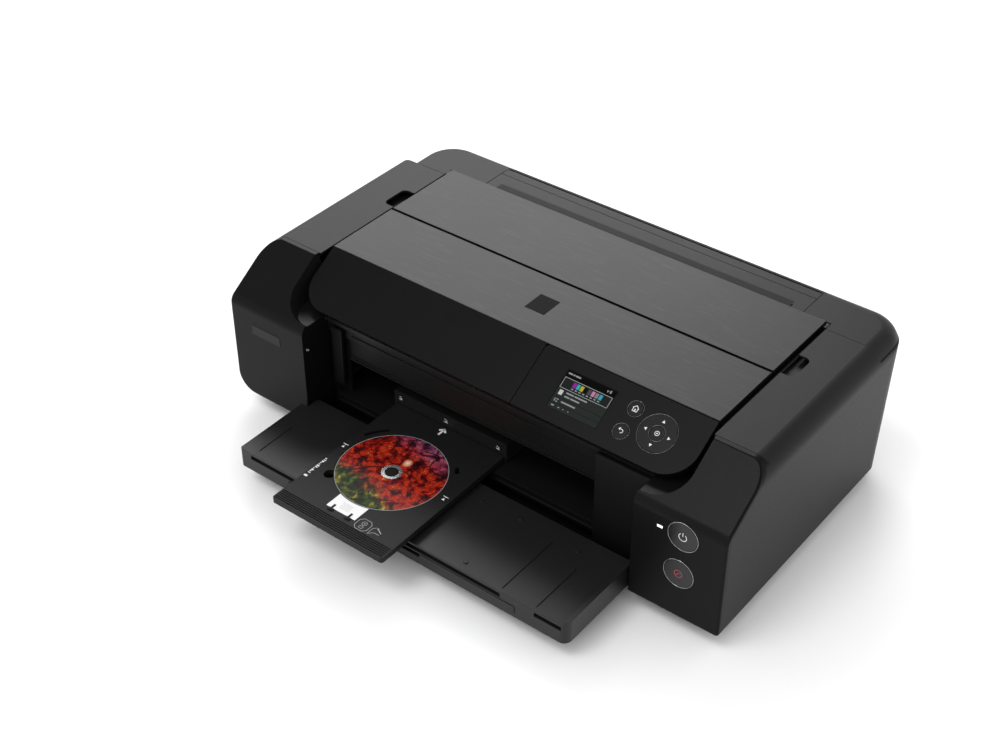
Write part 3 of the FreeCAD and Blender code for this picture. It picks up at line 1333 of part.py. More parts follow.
def idler_pulley():
    return pulley(-pulley_x, belt_y - 4.0, rail_y + sheet_metal + 3.0)


def carriage_motor():
    front = rail_y + sheet_metal
    can = rod_y(front, front + 32.0, pulley_x, pulley_z, 15.0)
    can = can.makeFillet(2.0, [e for e in can.Edges if e.BoundBox.YMin > front + 31.9])
    bore = rod_y(front - 1, front + 16.0, pulley_x, pulley_z, pinch_shaft_radius + running_gap)
    return can.cut(bore)


def maintenance_station():
    left, right = station_left_x, chassis_x - 16.0
    front, rear = exit_roller_y - 10.0, 40.0
    top = head_bottom_z - 12.0
    tub = box(left, right, front, rear, pan_floor_top, top)
    tub = tub.cut(box(left + 3, right - 3, front + 3, rear - 3, pan_floor_top + 2.5, top + 1))
    deck = box(left + 2, right - 2, carriage_front_y - 4, 6.0, top - 6.0, top - 3.0)
    left_wall = box(left, left + 3.0, front, rear, top - 2, path_z + 3.0)
    pieces = [tub, deck, left_wall]
    for x in (carriage_home_x - 18.0, carriage_home_x + 18.0):
        cup = box(x - 14, x + 14, -40.0, -10.0, top - 4.0, head_bottom_z - 0.2)
        pieces.append(cup.cut(box(x - 12, x + 12, -38.0, -12.0, head_bottom_z - 4.0, head_bottom_z)))
    pieces.append(box(carriage_home_x + 38.0, carriage_home_x + 40.0, -38.0, -12.0, top - 4, head_bottom_z - 0.5))
    station = fuse(*pieces)
    for y in (feed_roller_y, exit_roller_y):
        station = station.cut(rod_x(left - 1, left + 6, y, roller_axis_z, shaft_radius + running_gap))
    return station


# ---- electronics ----------------------------------------------------------------
board_y = 131.0
usb_size = (-244.0, -232.0, 70.0, 81.0)
lan_size = (-229.0, -213.0, 70.0, 83.5)
inlet_size = (221.0, 245.0, 24.0, 40.0)
board_posts = [(-222.0, 62.0), (-222.0, 146.0), (-246.0, 146.0)]


def socket(size, y_low, y_high, wall, depth):
    x_low, x_high, z_low, z_high = size
    shell = box(x_low, x_high, y_low, y_high, z_low, z_high)
    return shell.cut(box(x_low + wall, x_high - wall, y_high - depth, y_high + 1, z_low + wall, z_high - wall))


def main_board():
    board = box(-296.0, -212.0, board_y, board_y + 1.6, pan_rim_z + 2.5, 152.0)
    board = board.common(body_blank(shell_wall + 2.0))
    usb = socket(usb_size, board_y + 1.6, main_rear_y - 0.3, 1.2, 12.0)
    lan = socket(lan_size, board_y + 1.6, main_rear_y - 0.3, 1.2, 12.0)
    chips = [box(-285.0, -262.0, board_y - 2.4, board_y, 96.0, 119.0),
             box(-250.0, -236.0, board_y - 2.0, board_y, 104.0, 118.0)]
    return fuse(board, usb, lan, *chips)


def power_supply():
    rear = main_rear_y - pan_rear_inset - shell_wall - 1.0
    case = box(208.0, 272.0, 62.0, rear, pan_floor_top, 54.0)
    case = case.makeFillet(3.0, [e for e in case.Edges if e.BoundBox.ZMin > 53.9])
    inlet = socket(inlet_size, rear, main_rear_y - 0.3, 2.0, 11.0)
    pins = []
    middle_z = (inlet_size[2] + inlet_size[3]) / 2
    middle_x = (inlet_size[0] + inlet_size[1]) / 2
    for offset in (-4.3, 4.3):
        pins.append(rod_y(main_rear_y - 12.0, main_rear_y - 3.0, middle_x + offset, middle_z, 1.2))
    return fuse(case, inlet, *pins)


# ---- all pieces -----------------------------------------------------------------
nodes = {
    "base_pan": base_pan,
    "rubber_feet": rubber_feet,
    "left_side_cover": lambda: side_cover(-1),
    "right_side_cover": lambda: side_cover(1),
    "left_tower_cover": lambda: tower_cover(-1),
    "right_tower_cover": lambda: tower_cover(1),
    "rear_top_cover": rear_top_cover,
    "rear_panel": rear_panel,
    "screws": screws,
    "manual_feed_tray": manual_feed_tray,
    "upper_frame": upper_frame,
    "front_cover": front_cover,
    "front_trim_plate": front_trim_plate,
    "operation_panel": operation_panel,
    "panel_housing": panel_housing,
    "display_screen": display_screen,
    "home_button": lambda: round_key(home_key_x, home_key_s),
    "back_button": lambda: round_key(back_key_x, back_key_s),
    "ok_button": ok_button,
    "navigation_ring": navigation_ring,
    "power_button": lambda: tower_button(power_button_x, power_button_z),
    "stop_button": lambda: tower_button(stop_button_x, stop_button_z),
    "power_led": power_led,
    "top_cover": top_cover,
    "top_cover_trim_plate": top_cover_trim_plate,
    "paper_support": paper_support,
    "paper_support_extension": paper_support_extension,
    "rear_feed_frame": rear_feed_frame,
    "left_paper_guide": lambda: paper_guide(-1),
    "right_paper_guide": lambda: paper_guide(1),
    "pickup_roller": pickup_roller,
    "left_chassis_plate": lambda: chassis_plate(-1),
    "right_chassis_plate": lambda: chassis_plate(1),
    "carriage_rail": carriage_rail,
    "guide_shaft": guide_shaft,
    "carriage": carriage,
    "print_head": print_head,
    "ink_tanks": ink_tanks,
    "timing_belt": timing_belt,
    "drive_pulley": drive_pulley,
    "idler_pulley": idler_pulley,
    "carriage_motor": carriage_motor,
    "platen": platen,
    "feed_roller": feed_roller,
    "exit_roller": exit_roller,
    "pinch_rollers": pinch_rollers,
    "pinch_roller_holder": pinch_roller_holder,
    "star_wheels": star_wheels,
    "idler_gear": idler_gear,
    "motor_pinion": motor_pinion,
    "feed_motor": feed_motor,
    "maintenance_station": maintenance_station,
    "main_board": main_board,
    "power_supply": power_supply,
    "front_frame": front_frame,
    "disc_tray": disc_tray,
    "disc": disc,
    "disc_tray_guide": disc_tray_guide,
    "output_tray": output_tray,
    "output_tray_extension": output_tray_extension,
}

os.makedirs("parts", exist_ok=True)
for node, make in nodes.items():
    shape = make()
    print(node, len(shape.Solids), "valid" if shape.isValid() else "NOT VALID", round(shape.Volume / 1000, 1), "cm3")
    save(shape, node)
print(len(nodes), "nodes")
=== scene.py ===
from math import atan2, cos, hypot, pi, radians, sin

import bpy
from mathutils import Matrix, Vector


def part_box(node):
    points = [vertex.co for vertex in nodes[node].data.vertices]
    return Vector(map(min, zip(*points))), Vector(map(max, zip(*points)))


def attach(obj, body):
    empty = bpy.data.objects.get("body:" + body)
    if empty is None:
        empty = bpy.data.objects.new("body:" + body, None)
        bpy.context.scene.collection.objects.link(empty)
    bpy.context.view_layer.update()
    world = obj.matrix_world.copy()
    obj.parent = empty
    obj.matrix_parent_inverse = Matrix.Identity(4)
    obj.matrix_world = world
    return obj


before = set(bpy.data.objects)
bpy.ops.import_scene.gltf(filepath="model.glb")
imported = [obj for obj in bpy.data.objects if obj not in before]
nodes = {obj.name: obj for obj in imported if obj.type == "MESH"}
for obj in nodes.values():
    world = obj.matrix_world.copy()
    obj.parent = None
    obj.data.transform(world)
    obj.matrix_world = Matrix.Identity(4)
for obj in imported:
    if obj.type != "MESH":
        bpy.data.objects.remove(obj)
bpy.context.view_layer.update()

scene = bpy.context.scene
mm = 0.001

# ---- the view ------------------------------------------------------------------
# A long lens looks down on the front right corner of the printer.
# A very small shift puts the printer a little above the middle.
view_turn = 37.88
view_height = 37.4
view = bpy.data.cameras.new("view")
view.lens = 59.55
view.sensor_width = 36.0
view.shift_x = 0.0004
view.shift_y = -0.0037
view.clip_end = 40.0
view_stand = bpy.data.objects.new("view", view)
view_stand.location = (0.83305, -1.19075, 1.18642)
view_stand.rotation_euler = (radians(90.0 - view_height), 0.0, radians(view_turn))
scene.collection.objects.link(view_stand)
scene.camera = view_stand
scene.view_settings.view_transform = "Standard"


# ---- the studio ----------------------------------------------------------------
# A pale matt floor in a white room whose ceiling is darker, a large soft lamp
# behind the printer on the left, and a weak soft sun for the floor's shadow.
class Wire:
    """A shader socket that takes part in sums as a number does."""

    def __init__(self, tree, socket):
        self.tree = tree
        self.socket = socket

    def node(self, kind, settings, sockets, output=0):
        made = self.tree.nodes.new("ShaderNode" + kind)
        for name, value in settings.items():
            if name == "stops":
                set_stops(made.color_ramp, value)
            else:
                setattr(made, name, value)
        for name, value in sockets.items():
            if isinstance(value, Wire):
                self.tree.links.new(value.socket, made.inputs[name])
            else:
                made.inputs[name].default_value = value
        return Wire(self.tree, made.outputs[output])

    def sum(self, operation, first, second):
        return self.node("Math", {"operation": operation}, {0: first, 1: second})

    def __add__(self, other):
        return self.sum("ADD", self, other)

    def __sub__(self, other):
        return self.sum("SUBTRACT", self, other)

    def __rsub__(self, other):
        return self.sum("SUBTRACT", other, self)

    def __mul__(self, other):
        return self.sum("MULTIPLY", self, other)

    def __gt__(self, other):
        return self.sum("GREATER_THAN", self, other)

    def __lt__(self, other):
        return self.sum("LESS_THAN", self, other)

    __radd__ = __add__
    __rmul__ = __mul__


def set_stops(ramp, stops):
    """Stops are (place, colour) pairs from low to high."""
    while len(ramp.elements) < len(stops):
        ramp.elements.new(1.0)
    for element, (place, colour) in zip(ramp.elements, stops):
        element.position = place
        element.color = (*colour, 1.0)


room = bpy.data.worlds.new("studio_room")
room.use_nodes = True
scene.world = room
room_tree = room.node_tree
room_way = Wire(room_tree, room_tree.nodes.new("ShaderNodeTexCoord").outputs["Generated"])
room_rise = room_way.node("SeparateXYZ", {}, {"Vector": room_way}, "Z")
wall_end, ceiling_start, ceiling_tone = 0.58, 0.74, 0.12
room_tone = room_rise.node("MapRange", {"interpolation_type": "SMOOTHSTEP"},
                           {"Value": room_rise, "From Min": wall_end, "From Max": ceiling_start,
                            "To Min": 1.0, "To Max": ceiling_tone})
room_seen = room_way.node("LightPath", {}, {}, "Is Camera Ray")
for ray in ("Is Glossy Ray", "Is Transmission Ray"):
    room_seen = room_seen.sum("MAXIMUM", room_seen, room_way.node("LightPath", {}, {}, ray))
white = (1.0, 1.0, 1.0, 1.0)
room_light = room_way.node("Background", {}, {"Color": white, "Strength": 0.95})
room_wall = room_way.node("Background", {}, {"Color": white, "Strength": room_tone})
room_whole = room_way.node("MixShader", {}, {0: room_seen, 1: room_light, 2: room_wall})
room_tree.links.new(room_whole.socket, room_tree.nodes["World Output"].inputs["Surface"])


def start_finish(name, fixed):
    """A new material, its shader with the fixed values set, and a wire with the place on the piece."""
    material = bpy.data.materials.new(name)
    material.use_nodes = True
    tree = material.node_tree
    shader = tree.nodes["Principled BSDF"]
    for socket, value in fixed.items():
        shader.inputs[socket].default_value = value
    coordinates = tree.nodes.new("ShaderNodeTexCoord")
    return material, shader, Wire(tree, coordinates.outputs["Object"])


def feed(shader, socket, wire):
    wire.tree.links.new(wire.socket, shader.inputs[socket])


def noise(place, scale, detail=2.0):
    return place.node("TexNoise", {}, {"Vector": place, "Scale": scale, "Detail": detail})


def stretched(place, scales):
    return place.node("VectorMath", {"operation": "MULTIPLY"}, {0: place, 1: scales})


def blended(share, low, high):
    """A colour between low and high."""
    colours = {}
    for socket, value in ((6, low), (7, high)):
        colours[socket] = value if isinstance(value, Wire) else (*value, 1.0)
    return share.node("Mix", {"data_type": "RGBA"}, {0: share, **colours}, 2)


def toned(colour, factor):
    return tuple(factor * part for part in colour)


def deselect():
    if bpy.context.object and bpy.context.object.mode != "OBJECT":
        bpy.ops.object.mode_set(mode="OBJECT")
    bpy.ops.object.select_all(action="DESELECT")


paper = {"Roughness": 0.85, "Specular IOR Level": 0.1}
floor_finish, floor_shader, floor_place = start_finish("floor_paper", paper)
floor_tone = noise(floor_place, 3.0)
feed(floor_shader, "Base Color", blended(floor_tone, (0.86, 0.86, 0.86), (0.88, 0.88, 0.88)))
deselect()
bpy.ops.mesh.primitive_plane_add(size=24.0, location=(0.0, 0.0, 0.0))
floor = bpy.context.object
floor.name = "studio_floor"
floor.data.materials.append(floor_finish)


def soft_lamp(name, watts, width, length, place, aim):
    lamp = bpy.data.lights.new(name, "AREA")
    lamp.shape = "RECTANGLE"
    lamp.size = width
    lamp.size_y = length
    lamp.energy = watts
    stand = bpy.data.objects.new(name, lamp)
    stand.location = place
    stand.rotation_euler = (Vector(aim) - Vector(place)).to_track_quat("-Z", "Y").to_euler()
    scene.collection.objects.link(stand)


soft_lamp("back_soft_lamp", 36.0, 1.9, 1.3, (-1.35, 1.55, 1.55), (0.0, 0.0, 0.15))
soft_lamp("front_soft_lamp", 7.0, 1.6, 1.2, (0.4, -2.3, 1.9), (0.0, 0.0, 0.1))

sun = bpy.data.lights.new("high_sun", "SUN")
sun.energy = 0.9
sun.angle = radians(24.0)
sun_stand = bpy.data.objects.new("high_sun", sun)
sun_stand.rotation_euler = (radians(24.0), radians(-14.0), 0.0)
scene.collection.objects.link(sun_stand)


# ---- base, feet and outer covers -------------------------------------------------
# Injection moulded black shells with a very fine spark-eroded grain. They clip
# and screw to the base pan, and five rubber feet are pressed into it.
def relief(shader, height, edge, strength, depth):
    """Edges softened over a small radius, with fine relief on the faces."""
    rounded = height.node("Bevel", {"samples": 4}, {"Radius": edge})
    sockets = {"Strength": strength, "Distance": depth, "Height": height, "Normal": rounded}
    feed(shader, "Normal", height.node("Bump", {}, sockets))


def moulded(name, colour, roughness, specular, grain, edge=0.6 * mm):
    """Moulded plastic: colour that drifts slightly, fine grain and softened edges."""
    material, shader, place = start_finish(name, {"Specular IOR Level": specular})
    drift = noise(place, 14.0)
    feed(shader, "Base Color", blended(drift, toned(colour, 0.88), toned(colour, 1.12)))
    feed(shader, "Roughness", noise(place, 260.0) * 0.08 + (roughness - 0.04))
    relief(shader, noise(place, 1300.0), edge, 0.35, grain)
    return material


def dress(material, *names):
    for name in names:
        nodes[name].data.materials.clear()
        nodes[name].data.materials.append(material)


satin_black = moulded("satin_black", (0.0100, 0.0100, 0.0100), 0.42, 0.13, 0.020 * mm)
deep_satin = moulded("deep_satin", (0.0048, 0.0048, 0.0050), 0.30, 0.08, 0.006 * mm)
matte_black = moulded("matte_black", (0.007, 0.007, 0.0074), 0.48, 0.14, 0.020 * mm)
foot_rubber = moulded("foot_rubber", (0.022, 0.022, 0.022), 0.75, 0.25, 0.05 * mm)
dress(satin_black, "left_side_cover", "right_side_cover", "rear_top_cover")
dress(matte_black, "base_pan", "rear_panel", "manual_feed_tray")
dress(foot_rubber, "rubber_feet")


def plated(name, colour, roughness, streak=(900.0, 40.0, 40.0)):
    """Bright metal with drawn lines along one way."""
    material, shader, place = start_finish(name, {"Metallic": 1.0})
    lines = noise(stretched(place, streak), 1.0, 3.0)
    feed(shader, "Base Color", blended(lines, toned(colour, 0.86), colour))
    feed(shader, "Roughness", lines * 0.16 + (roughness - 0.08))
    relief(shader, lines, 0.3 * mm, 0.2, 0.01 * mm)
    return material


zinc_sheet = plated("zinc_sheet", (0.50, 0.51, 0.52), 0.38)
dark_screw = plated("dark_screw", (0.09, 0.09, 0.095), 0.35, (300.0, 300.0, 300.0))
dress(dark_screw, "screws")

# ---- front fascia: two towers ------------------------------------------------------
# Smooth black mouldings with a chamfer along the top and a scoop beside the
# sloping cover. The left one carries a small bare plate.
dress(deep_satin, "left_tower_cover", "right_tower_cover")


def settle(piece, smooth=35.0):
    """Puts a finished piece's place into its mesh and smooths its round faces."""
    deselect()
    bpy.context.view_layer.objects.active = piece
    piece.select_set(True)
    bpy.ops.object.transform_apply(location=True, rotation=True, scale=True)
    bpy.ops.object.shade_smooth_by_angle(angle=radians(smooth))
    return piece


def edit_all(piece):
    deselect()
    bpy.context.view_layer.objects.active = piece
    piece.select_set(True)
    bpy.ops.object.mode_set(mode="EDIT")
    bpy.ops.mesh.select_all(action="SELECT")


def soften(piece, width, segments, angle):
    """Bevels the edges that are sharper than angle."""
    bevel = piece.modifiers.new("edges", "BEVEL")
    bevel.width = width
    bevel.segments = segments
    bevel.limit_method = "ANGLE"
    bevel.angle_limit = radians(angle)
    bpy.ops.object.modifier_apply(modifier="edges")
    return piece


def plate(name, low, high, edge):
    """A flat block with all its edges bevelled."""
    deselect()
    middle = [(a + b) / 2 for a, b in zip(low, high)]
    bpy.ops.mesh.primitive_cube_add(size=1.0, location=middle)
    piece = bpy.context.object
    piece.name = name
    piece.scale = [b - a for a, b in zip(low, high)]
    bpy.ops.object.transform_apply(location=False, rotation=False, scale=True)
    return soften(piece, edge, 2, 40.0)


def finish_piece(piece, material, body):
    piece.data.materials.clear()
    piece.data.materials.append(material)
    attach(piece, body)
    return piece


front_y = -189.5 * mm
badge = plate("badge_plate", (-292.0 * mm, front_y - 0.35 * mm, 107.0 * mm),
              (-250.0 * mm, front_y + 0.4 * mm, 119.0 * mm), 0.12 * mm)
badge_finish = moulded("badge_finish", (0.005, 0.005, 0.005), 0.26, 0.16, 0.002 * mm, 0.1 * mm)
finish_piece(settle(badge, 12.0), badge_finish, "printer_body")


def pick_faces(piece, wanted):
    """Edit mode with only those faces selected whose normal is wanted."""
    edit_all(piece)
    bpy.ops.mesh.select_mode(type="FACE")
    bpy.ops.mesh.select_all(action="DESELECT")
    bpy.ops.object.mode_set(mode="OBJECT")
    for face in piece.data.polygons:
        face.select = wanted(face.normal)
    bpy.ops.object.mode_set(mode="EDIT")


def screw_head(name, place, turn, radius, height):
    """A small screw head with a sunk middle, turned to face its way."""
    deselect()
    bpy.ops.mesh.primitive_cylinder_add(vertices=32, radius=radius, depth=height)
    head = bpy.context.object
    head.name = name
    pick_faces(head, lambda normal: normal.z > 0.9)
    bpy.ops.mesh.inset(thickness=radius * 0.22)
    bpy.ops.transform.translate(value=(0.0, 0.0, height * 0.25))
    bpy.ops.mesh.inset(thickness=radius * 0.35)
    bpy.ops.transform.translate(value=(0.0, 0.0, -height * 0.45))
    bpy.ops.object.mode_set(mode="OBJECT")
    head.rotation_euler = turn
    head.location = place
    return settle(head)


screw_place, faces_right = (-214.6 * mm, -183.5 * mm, 116.0 * mm), (0.0, radians(90.0), 0.0)
wall_screw = screw_head("left_wall_screw", screw_place, faces_right, 1.9 * mm, 1.4 * mm)
finish_piece(wall_screw, zinc_sheet, "printer_body")

# ---- tower buttons and lamp ---------------------------------------------------------
# Two round gloss keys in thin bright rings, each with a raised printed mark, and a
# clear lens over a white lamp. The keys slide in collars behind the fascia.
gloss_key = moulded("gloss_key", (0.009, 0.009, 0.0095), 0.16, 0.45, 0.001 * mm, 0.4 * mm)
ring_chrome = plated("ring_chrome", (0.62, 0.62, 0.63), 0.20, (200.0, 200.0, 200.0))
dress(gloss_key, "power_button", "stop_button")
key_places = {"power_button": (271.6 * mm, 123.2 * mm), "stop_button": (270.1 * mm, 75.3 * mm)}
key_face_y = front_y - 0.6 * mm


def hoop(name, inner, outer, height):
    """A flat ring about +Z with eased edges, its foot at z 0."""
    deselect()
    bpy.ops.mesh.primitive_cylinder_add(vertices=96, radius=outer, depth=height,
                                        location=(0.0, 0.0, height / 2))
    ring = bpy.context.object
    ring.name = name
    pick_faces(ring, lambda normal: abs(normal.z) > 0.9)
    bpy.ops.mesh.inset(thickness=outer - inner)
    bpy.ops.mesh.bridge_edge_loops()
    bpy.ops.object.mode_set(mode="OBJECT")
    return soften(ring, min(outer - inner, height) * 0.3, 3, 50.0)


def on_front(x, z, y=front_y):
    """Lays what is drawn flat on the upright front, its face towards -Y."""
    return Matrix.Translation((x, y, z)) @ Matrix.Rotation(radians(90.0), 4, "X")


def lay(piece, where):
    piece.matrix_world = where @ piece.matrix_world
    return settle(piece)


ring_inner, ring_outer, ring_height = 16.55 * mm, 17.0 * mm, 0.9 * mm
for key, (x, z) in key_places.items():
    collar = hoop(key + "_ring", ring_inner, ring_outer, ring_height)
    lay(collar, on_front(x, z, front_y + ring_height / 2))
    finish_piece(collar, ring_chrome, "printer_body")
mark_height = 0.12 * mm


def bar(start, end, width):
    """A printed line from start to end on a flat face, as a thin eased strip."""
    run = hypot(end[0] - start[0], end[1] - start[1])
    middle = ((start[0] + end[0]) / 2, (start[1] + end[1]) / 2, 0.0)
    deselect()
    bpy.ops.mesh.primitive_cube_add(size=1.0, location=middle,
                                    rotation=(0.0, 0.0, atan2(end[1] - start[1], end[0] - start[0])))
    strip = bpy.context.object
    strip.scale = (run, width, mark_height)
    edit_all(strip)
    bpy.ops.mesh.bevel(offset=width * 0.2, segments=2, affect="EDGES")
    bpy.ops.object.mode_set(mode="OBJECT")
    bpy.ops.object.transform_apply(location=True, rotation=True, scale=True)
    return strip


def arc(centre, radius, width, start, turn):
    """A printed part of a circle; angles in degrees from +X."""
    deselect()
    first = radians(start)
    bpy.ops.mesh.primitive_plane_add(size=1.0, rotation=(radians(90.0), 0.0, 0.0))
    strip = bpy.context.object
    strip.scale = (width, mark_height, 1.0)
    bpy.ops.object.transform_apply(location=False, rotation=True, scale=True)
    strip.location = (radius, 0.0, 0.0)
    bpy.ops.object.transform_apply(location=True, rotation=False, scale=False)
    strip.rotation_euler = (0.0, 0.0, first)
    bpy.ops.object.transform_apply(location=False, rotation=True, scale=False)
    edit_all(strip)
    bpy.ops.mesh.spin(steps=max(6, int(abs(turn) / 9)), angle=radians(-turn), center=(0.0, 0.0, 0.0),
                      axis=(0.0, 0.0, 1.0))
    bpy.ops.mesh.select_all(action="SELECT")
    bpy.ops.mesh.remove_doubles(threshold=1e-7)
    bpy.ops.mesh.normals_make_consistent(inside=False)
    bpy.ops.object.mode_set(mode="OBJECT")
    strip.location = (*centre, 0.0)
    bpy.ops.object.transform_apply(location=True, rotation=False, scale=False)
    return strip


def joined(name, strips):
    deselect()
    for strip in strips:
        strip.select_set(True)
    bpy.context.view_layer.objects.active = strips[0]
    if len(strips) > 1:
        bpy.ops.object.join()
    strips[0].name = name
    return strips[0]


def ink(name, colour):
    """Printed ink: even colour with a slight mottle, a little raised."""
    material, shader, place = start_finish(name, {"Roughness": 0.5, "Specular IOR Level": 0.3})
    mottle = noise(place, 900.0)
    feed(shader, "Base Color", blended(mottle, toned(colour, 0.85), colour))
    return material


def points(*pairs):
    return [(x * mm, y * mm) for x, y in pairs]


def line(start, end, width):
    """A bar given in millimetres."""
    return bar(*points(start, end), width * mm)


def ring_mark(x, y, radius, width, start=0.0, turn=359.9):
    """An arc given in millimetres, or nearly a whole circle."""
    return arc((x * mm, y * mm), radius * mm, width * mm, start, turn)


white_ink = ink("white_ink", (0.72, 0.72, 0.72))
grey_ink = ink("grey_ink", (0.35, 0.35, 0.35))
red_ink = ink("red_ink", (0.36, 0.05, 0.07))
power_lines = [ring_mark(0.0, 0.0, 4.3, 0.75, 125.0, 290.0), line((0.0, 1.2), (0.0, 5.6), 0.75)]
mark_y = key_face_y - 0.02 * mm
power_mark = lay(joined("power_mark", power_lines), on_front(*key_places["power_button"], mark_y))
finish_piece(power_mark, white_ink, "power_button")
stop_lines = [ring_mark(0.0, 0.0, 4.3, 0.75), line((-2.3, -2.3), (2.3, 2.3), 0.7),
              line((-1.2, 0.6), (1.2, 0.6), 0.6)]
stop_mark = lay(joined("stop_mark", stop_lines), on_front(*key_places["stop_button"], mark_y))
finish_piece(stop_mark, red_ink, "stop_button")


def lit(name, colour, strength):
    """A lamp's lens: pale frosted plastic that glows."""
    material, shader, place = start_finish(name, {"Roughness": 0.3, "Emission Strength": strength})
    frost = noise(place, 700.0)
    feed(shader, "Base Color", blended(frost, (0.7, 0.7, 0.68), (0.85, 0.85, 0.82)))
    feed(shader, "Emission Color", blended(frost, toned(colour, 0.9), colour))
    return material


dress(lit("lamp_glow", (1.0, 0.98, 0.94), 1.6), "power_led")

# ---- sloping front cover and brushed top plates ---------------------------------------
# The front cover folds down over the paper mouth. Its top and the lid behind it
# carry dark plates with a fine brushing along their length and a bare square.
dress(deep_satin, "front_cover")


def spread(wire, low, high, first=0.0, last=1.0):
    """The wire's run from low to high, put between first and last."""
    return wire.node("MapRange", {}, {"Value": wire, "From Min": low, "From Max": high,
                                      "To Min": first, "To Max": last})


def brushed(name, tone, roughness):
    """Dark metal with short pale flecks along X and a slow drift in tone."""
    material, shader, place = start_finish(name, {"Metallic": 1.0})
    fine = noise(stretched(place, (26.0, 2600.0, 60.0)), 1.0, 3.0)
    flecks = noise(stretched(place, (42.0, 520.0, 60.0)), 1.0, 2.0)
    cloud = noise(place, 9.0)
    ground = blended(fine * 0.75 + cloud * 0.25, toned(tone, 0.68), toned(tone, 1.24))
    feed(shader, "Base Color", blended(spread(flecks, 0.56, 0.72) * 0.42, ground, toned(tone, 1.5)))
    feed(shader, "Roughness", fine * 0.14 + (roughness - 0.07))
    relief(shader, fine, 0.5 * mm, 0.25, 0.012 * mm)
    return material


brushed_plate = brushed("brushed_plate", (0.034, 0.034, 0.034), 0.44)
dress(brushed_plate, "front_trim_plate", "top_cover_trim_plate")
dress(satin_black, "top_cover")
shadow_black = moulded("shadow_black", (0.0006, 0.0006, 0.0006), 0.70, 0.01, 0.001 * mm, 0.05 * mm)


def shadow_strip(name, low_x, high_x, y, width, z, lean=0.0):
    """A black strip of painted shadow along X at one height, leaning about X, in metres."""
    strip = joined(name, [bar((low_x, 0.0), (high_x, 0.0), width)])
    return lay(strip, Matrix.Translation((0.0, y, z)) @ Matrix.Rotation(radians(lean), 4, "X"))


# A black strip along the rear edge of the front plate is painted shadow, where the seam behind the plate lies
# in shade.
plate_low, plate_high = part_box("front_trim_plate")
shadow_inset, plate_shadow_width = 0.5 * mm, 1.3 * mm
plate_shadow = shadow_strip("plate_rear_shadow", plate_low.x + shadow_inset, plate_high.x - shadow_inset,
                       plate_high.y - plate_shadow_width / 2, plate_shadow_width, plate_high.z)
finish_piece(plate_shadow, shadow_black, "printer_body")
square = plate("plate_square", (-13.0 * mm, -60.8 * mm, 192.2 * mm), (12.0 * mm, -32.0 * mm, 192.75 * mm),
               0.12 * mm)
square_finish = moulded("square_finish", (0.006, 0.006, 0.006), 0.50, 0.03, 0.002 * mm, 0.2 * mm)
finish_piece(settle(square, 12.0), square_finish, "printer_body")

# ---- operation panel, its keys and the display -------------------------------------
# The panel fills the right of the slope. A colour display sits behind a flush clear
# window, with two round keys and a four-way ring about a middle key beside it.
slope = radians(31.0)
fold = Matrix.Translation((0.0, -97.0 * mm, 192.5 * mm)) @ Matrix.Rotation(slope, 4, "X")
key_top = 0.4 * mm
dress(deep_satin, "operation_panel")
dress(matte_black, "panel_housing")
panel_key = moulded("panel_key", (0.005, 0.005, 0.0054), 0.26, 0.14, 0.002 * mm, 0.35 * mm)
dress(panel_key, "home_button", "back_button", "ok_button", "navigation_ring")


def on_key(x, s, height=key_top):
    """Lays a mark drawn flat on the slope, s below the fold."""
    return fold @ Matrix.Translation((x, -s, height))


home_spot, back_spot, ring_spot = (166.3 * mm, 24.3 * mm), (165.0 * mm, 51.0 * mm), (199.3 * mm, 37.8 * mm)
home_lines = [line((-3.4, 0.2), (0.0, 3.4), 0.65), line((3.4, 0.2), (0.0, 3.4), 0.65),
              line((-2.5, 0.6), (-2.5, -3.2), 0.6), line((2.5, 0.6), (2.5, -3.2), 0.6),
              line((-2.7, -3.1), (2.7, -3.1), 0.6), line((0.0, -0.4), (0.0, -2.6), 1.3)]
home_mark = lay(joined("home_mark", home_lines), on_key(*home_spot))
finish_piece(home_mark, white_ink, "home_button")
back_lines = [ring_mark(0.4, 0.0, 1.9, 0.6, -100.0, 190.0), line((-2.9, 1.9), (0.4, 1.9), 0.6),
              line((-3.0, 1.9), (-1.3, 3.2), 0.6), line((-3.0, 1.9), (-1.3, 0.6), 0.6)]
back_mark = lay(joined("back_mark", back_lines), on_key(*back_spot))
finish_piece(back_mark, white_ink, "back_button")
middle_lines = [ring_mark(0.0, 0.0, 2.3, 0.6), line((-0.7, 0.0), (0.7, 0.0), 1.3)]
middle_mark = lay(joined("middle_mark", middle_lines), on_key(*ring_spot))
finish_piece(middle_mark, white_ink, "ok_button")

# Thin metal hoops round the panel keys stand in for the highlights on the keys' rounded edges: a painted
# highlight made as geometry.
key_edge_highlight = plated("key_edge_highlight", (0.20, 0.20, 0.205), 0.30, (200.0, 200.0, 200.0))
key_radius, ring_radius = 8.4 * mm, 20.6 * mm
edge_height, edge_sink = 0.14 * mm, 0.02 * mm
for key, spot, radius, width, height, body in (
        ("home_button", home_spot, key_radius, 0.32 * mm, 0.0, "printer_body"),
        ("back_button", back_spot, key_radius, 0.32 * mm, 0.0, "printer_body"),
        ("navigation_ring", ring_spot, ring_radius, 0.32 * mm, 0.0, "printer_body"),
        ("ok_button", ring_spot, key_radius, 0.26 * mm, key_top, "navigation_ring")):
    collar = lay(hoop(key + "_ring", radius, radius + width, edge_height), on_key(*spot, height - edge_sink))
    finish_piece(collar, key_edge_highlight, body)


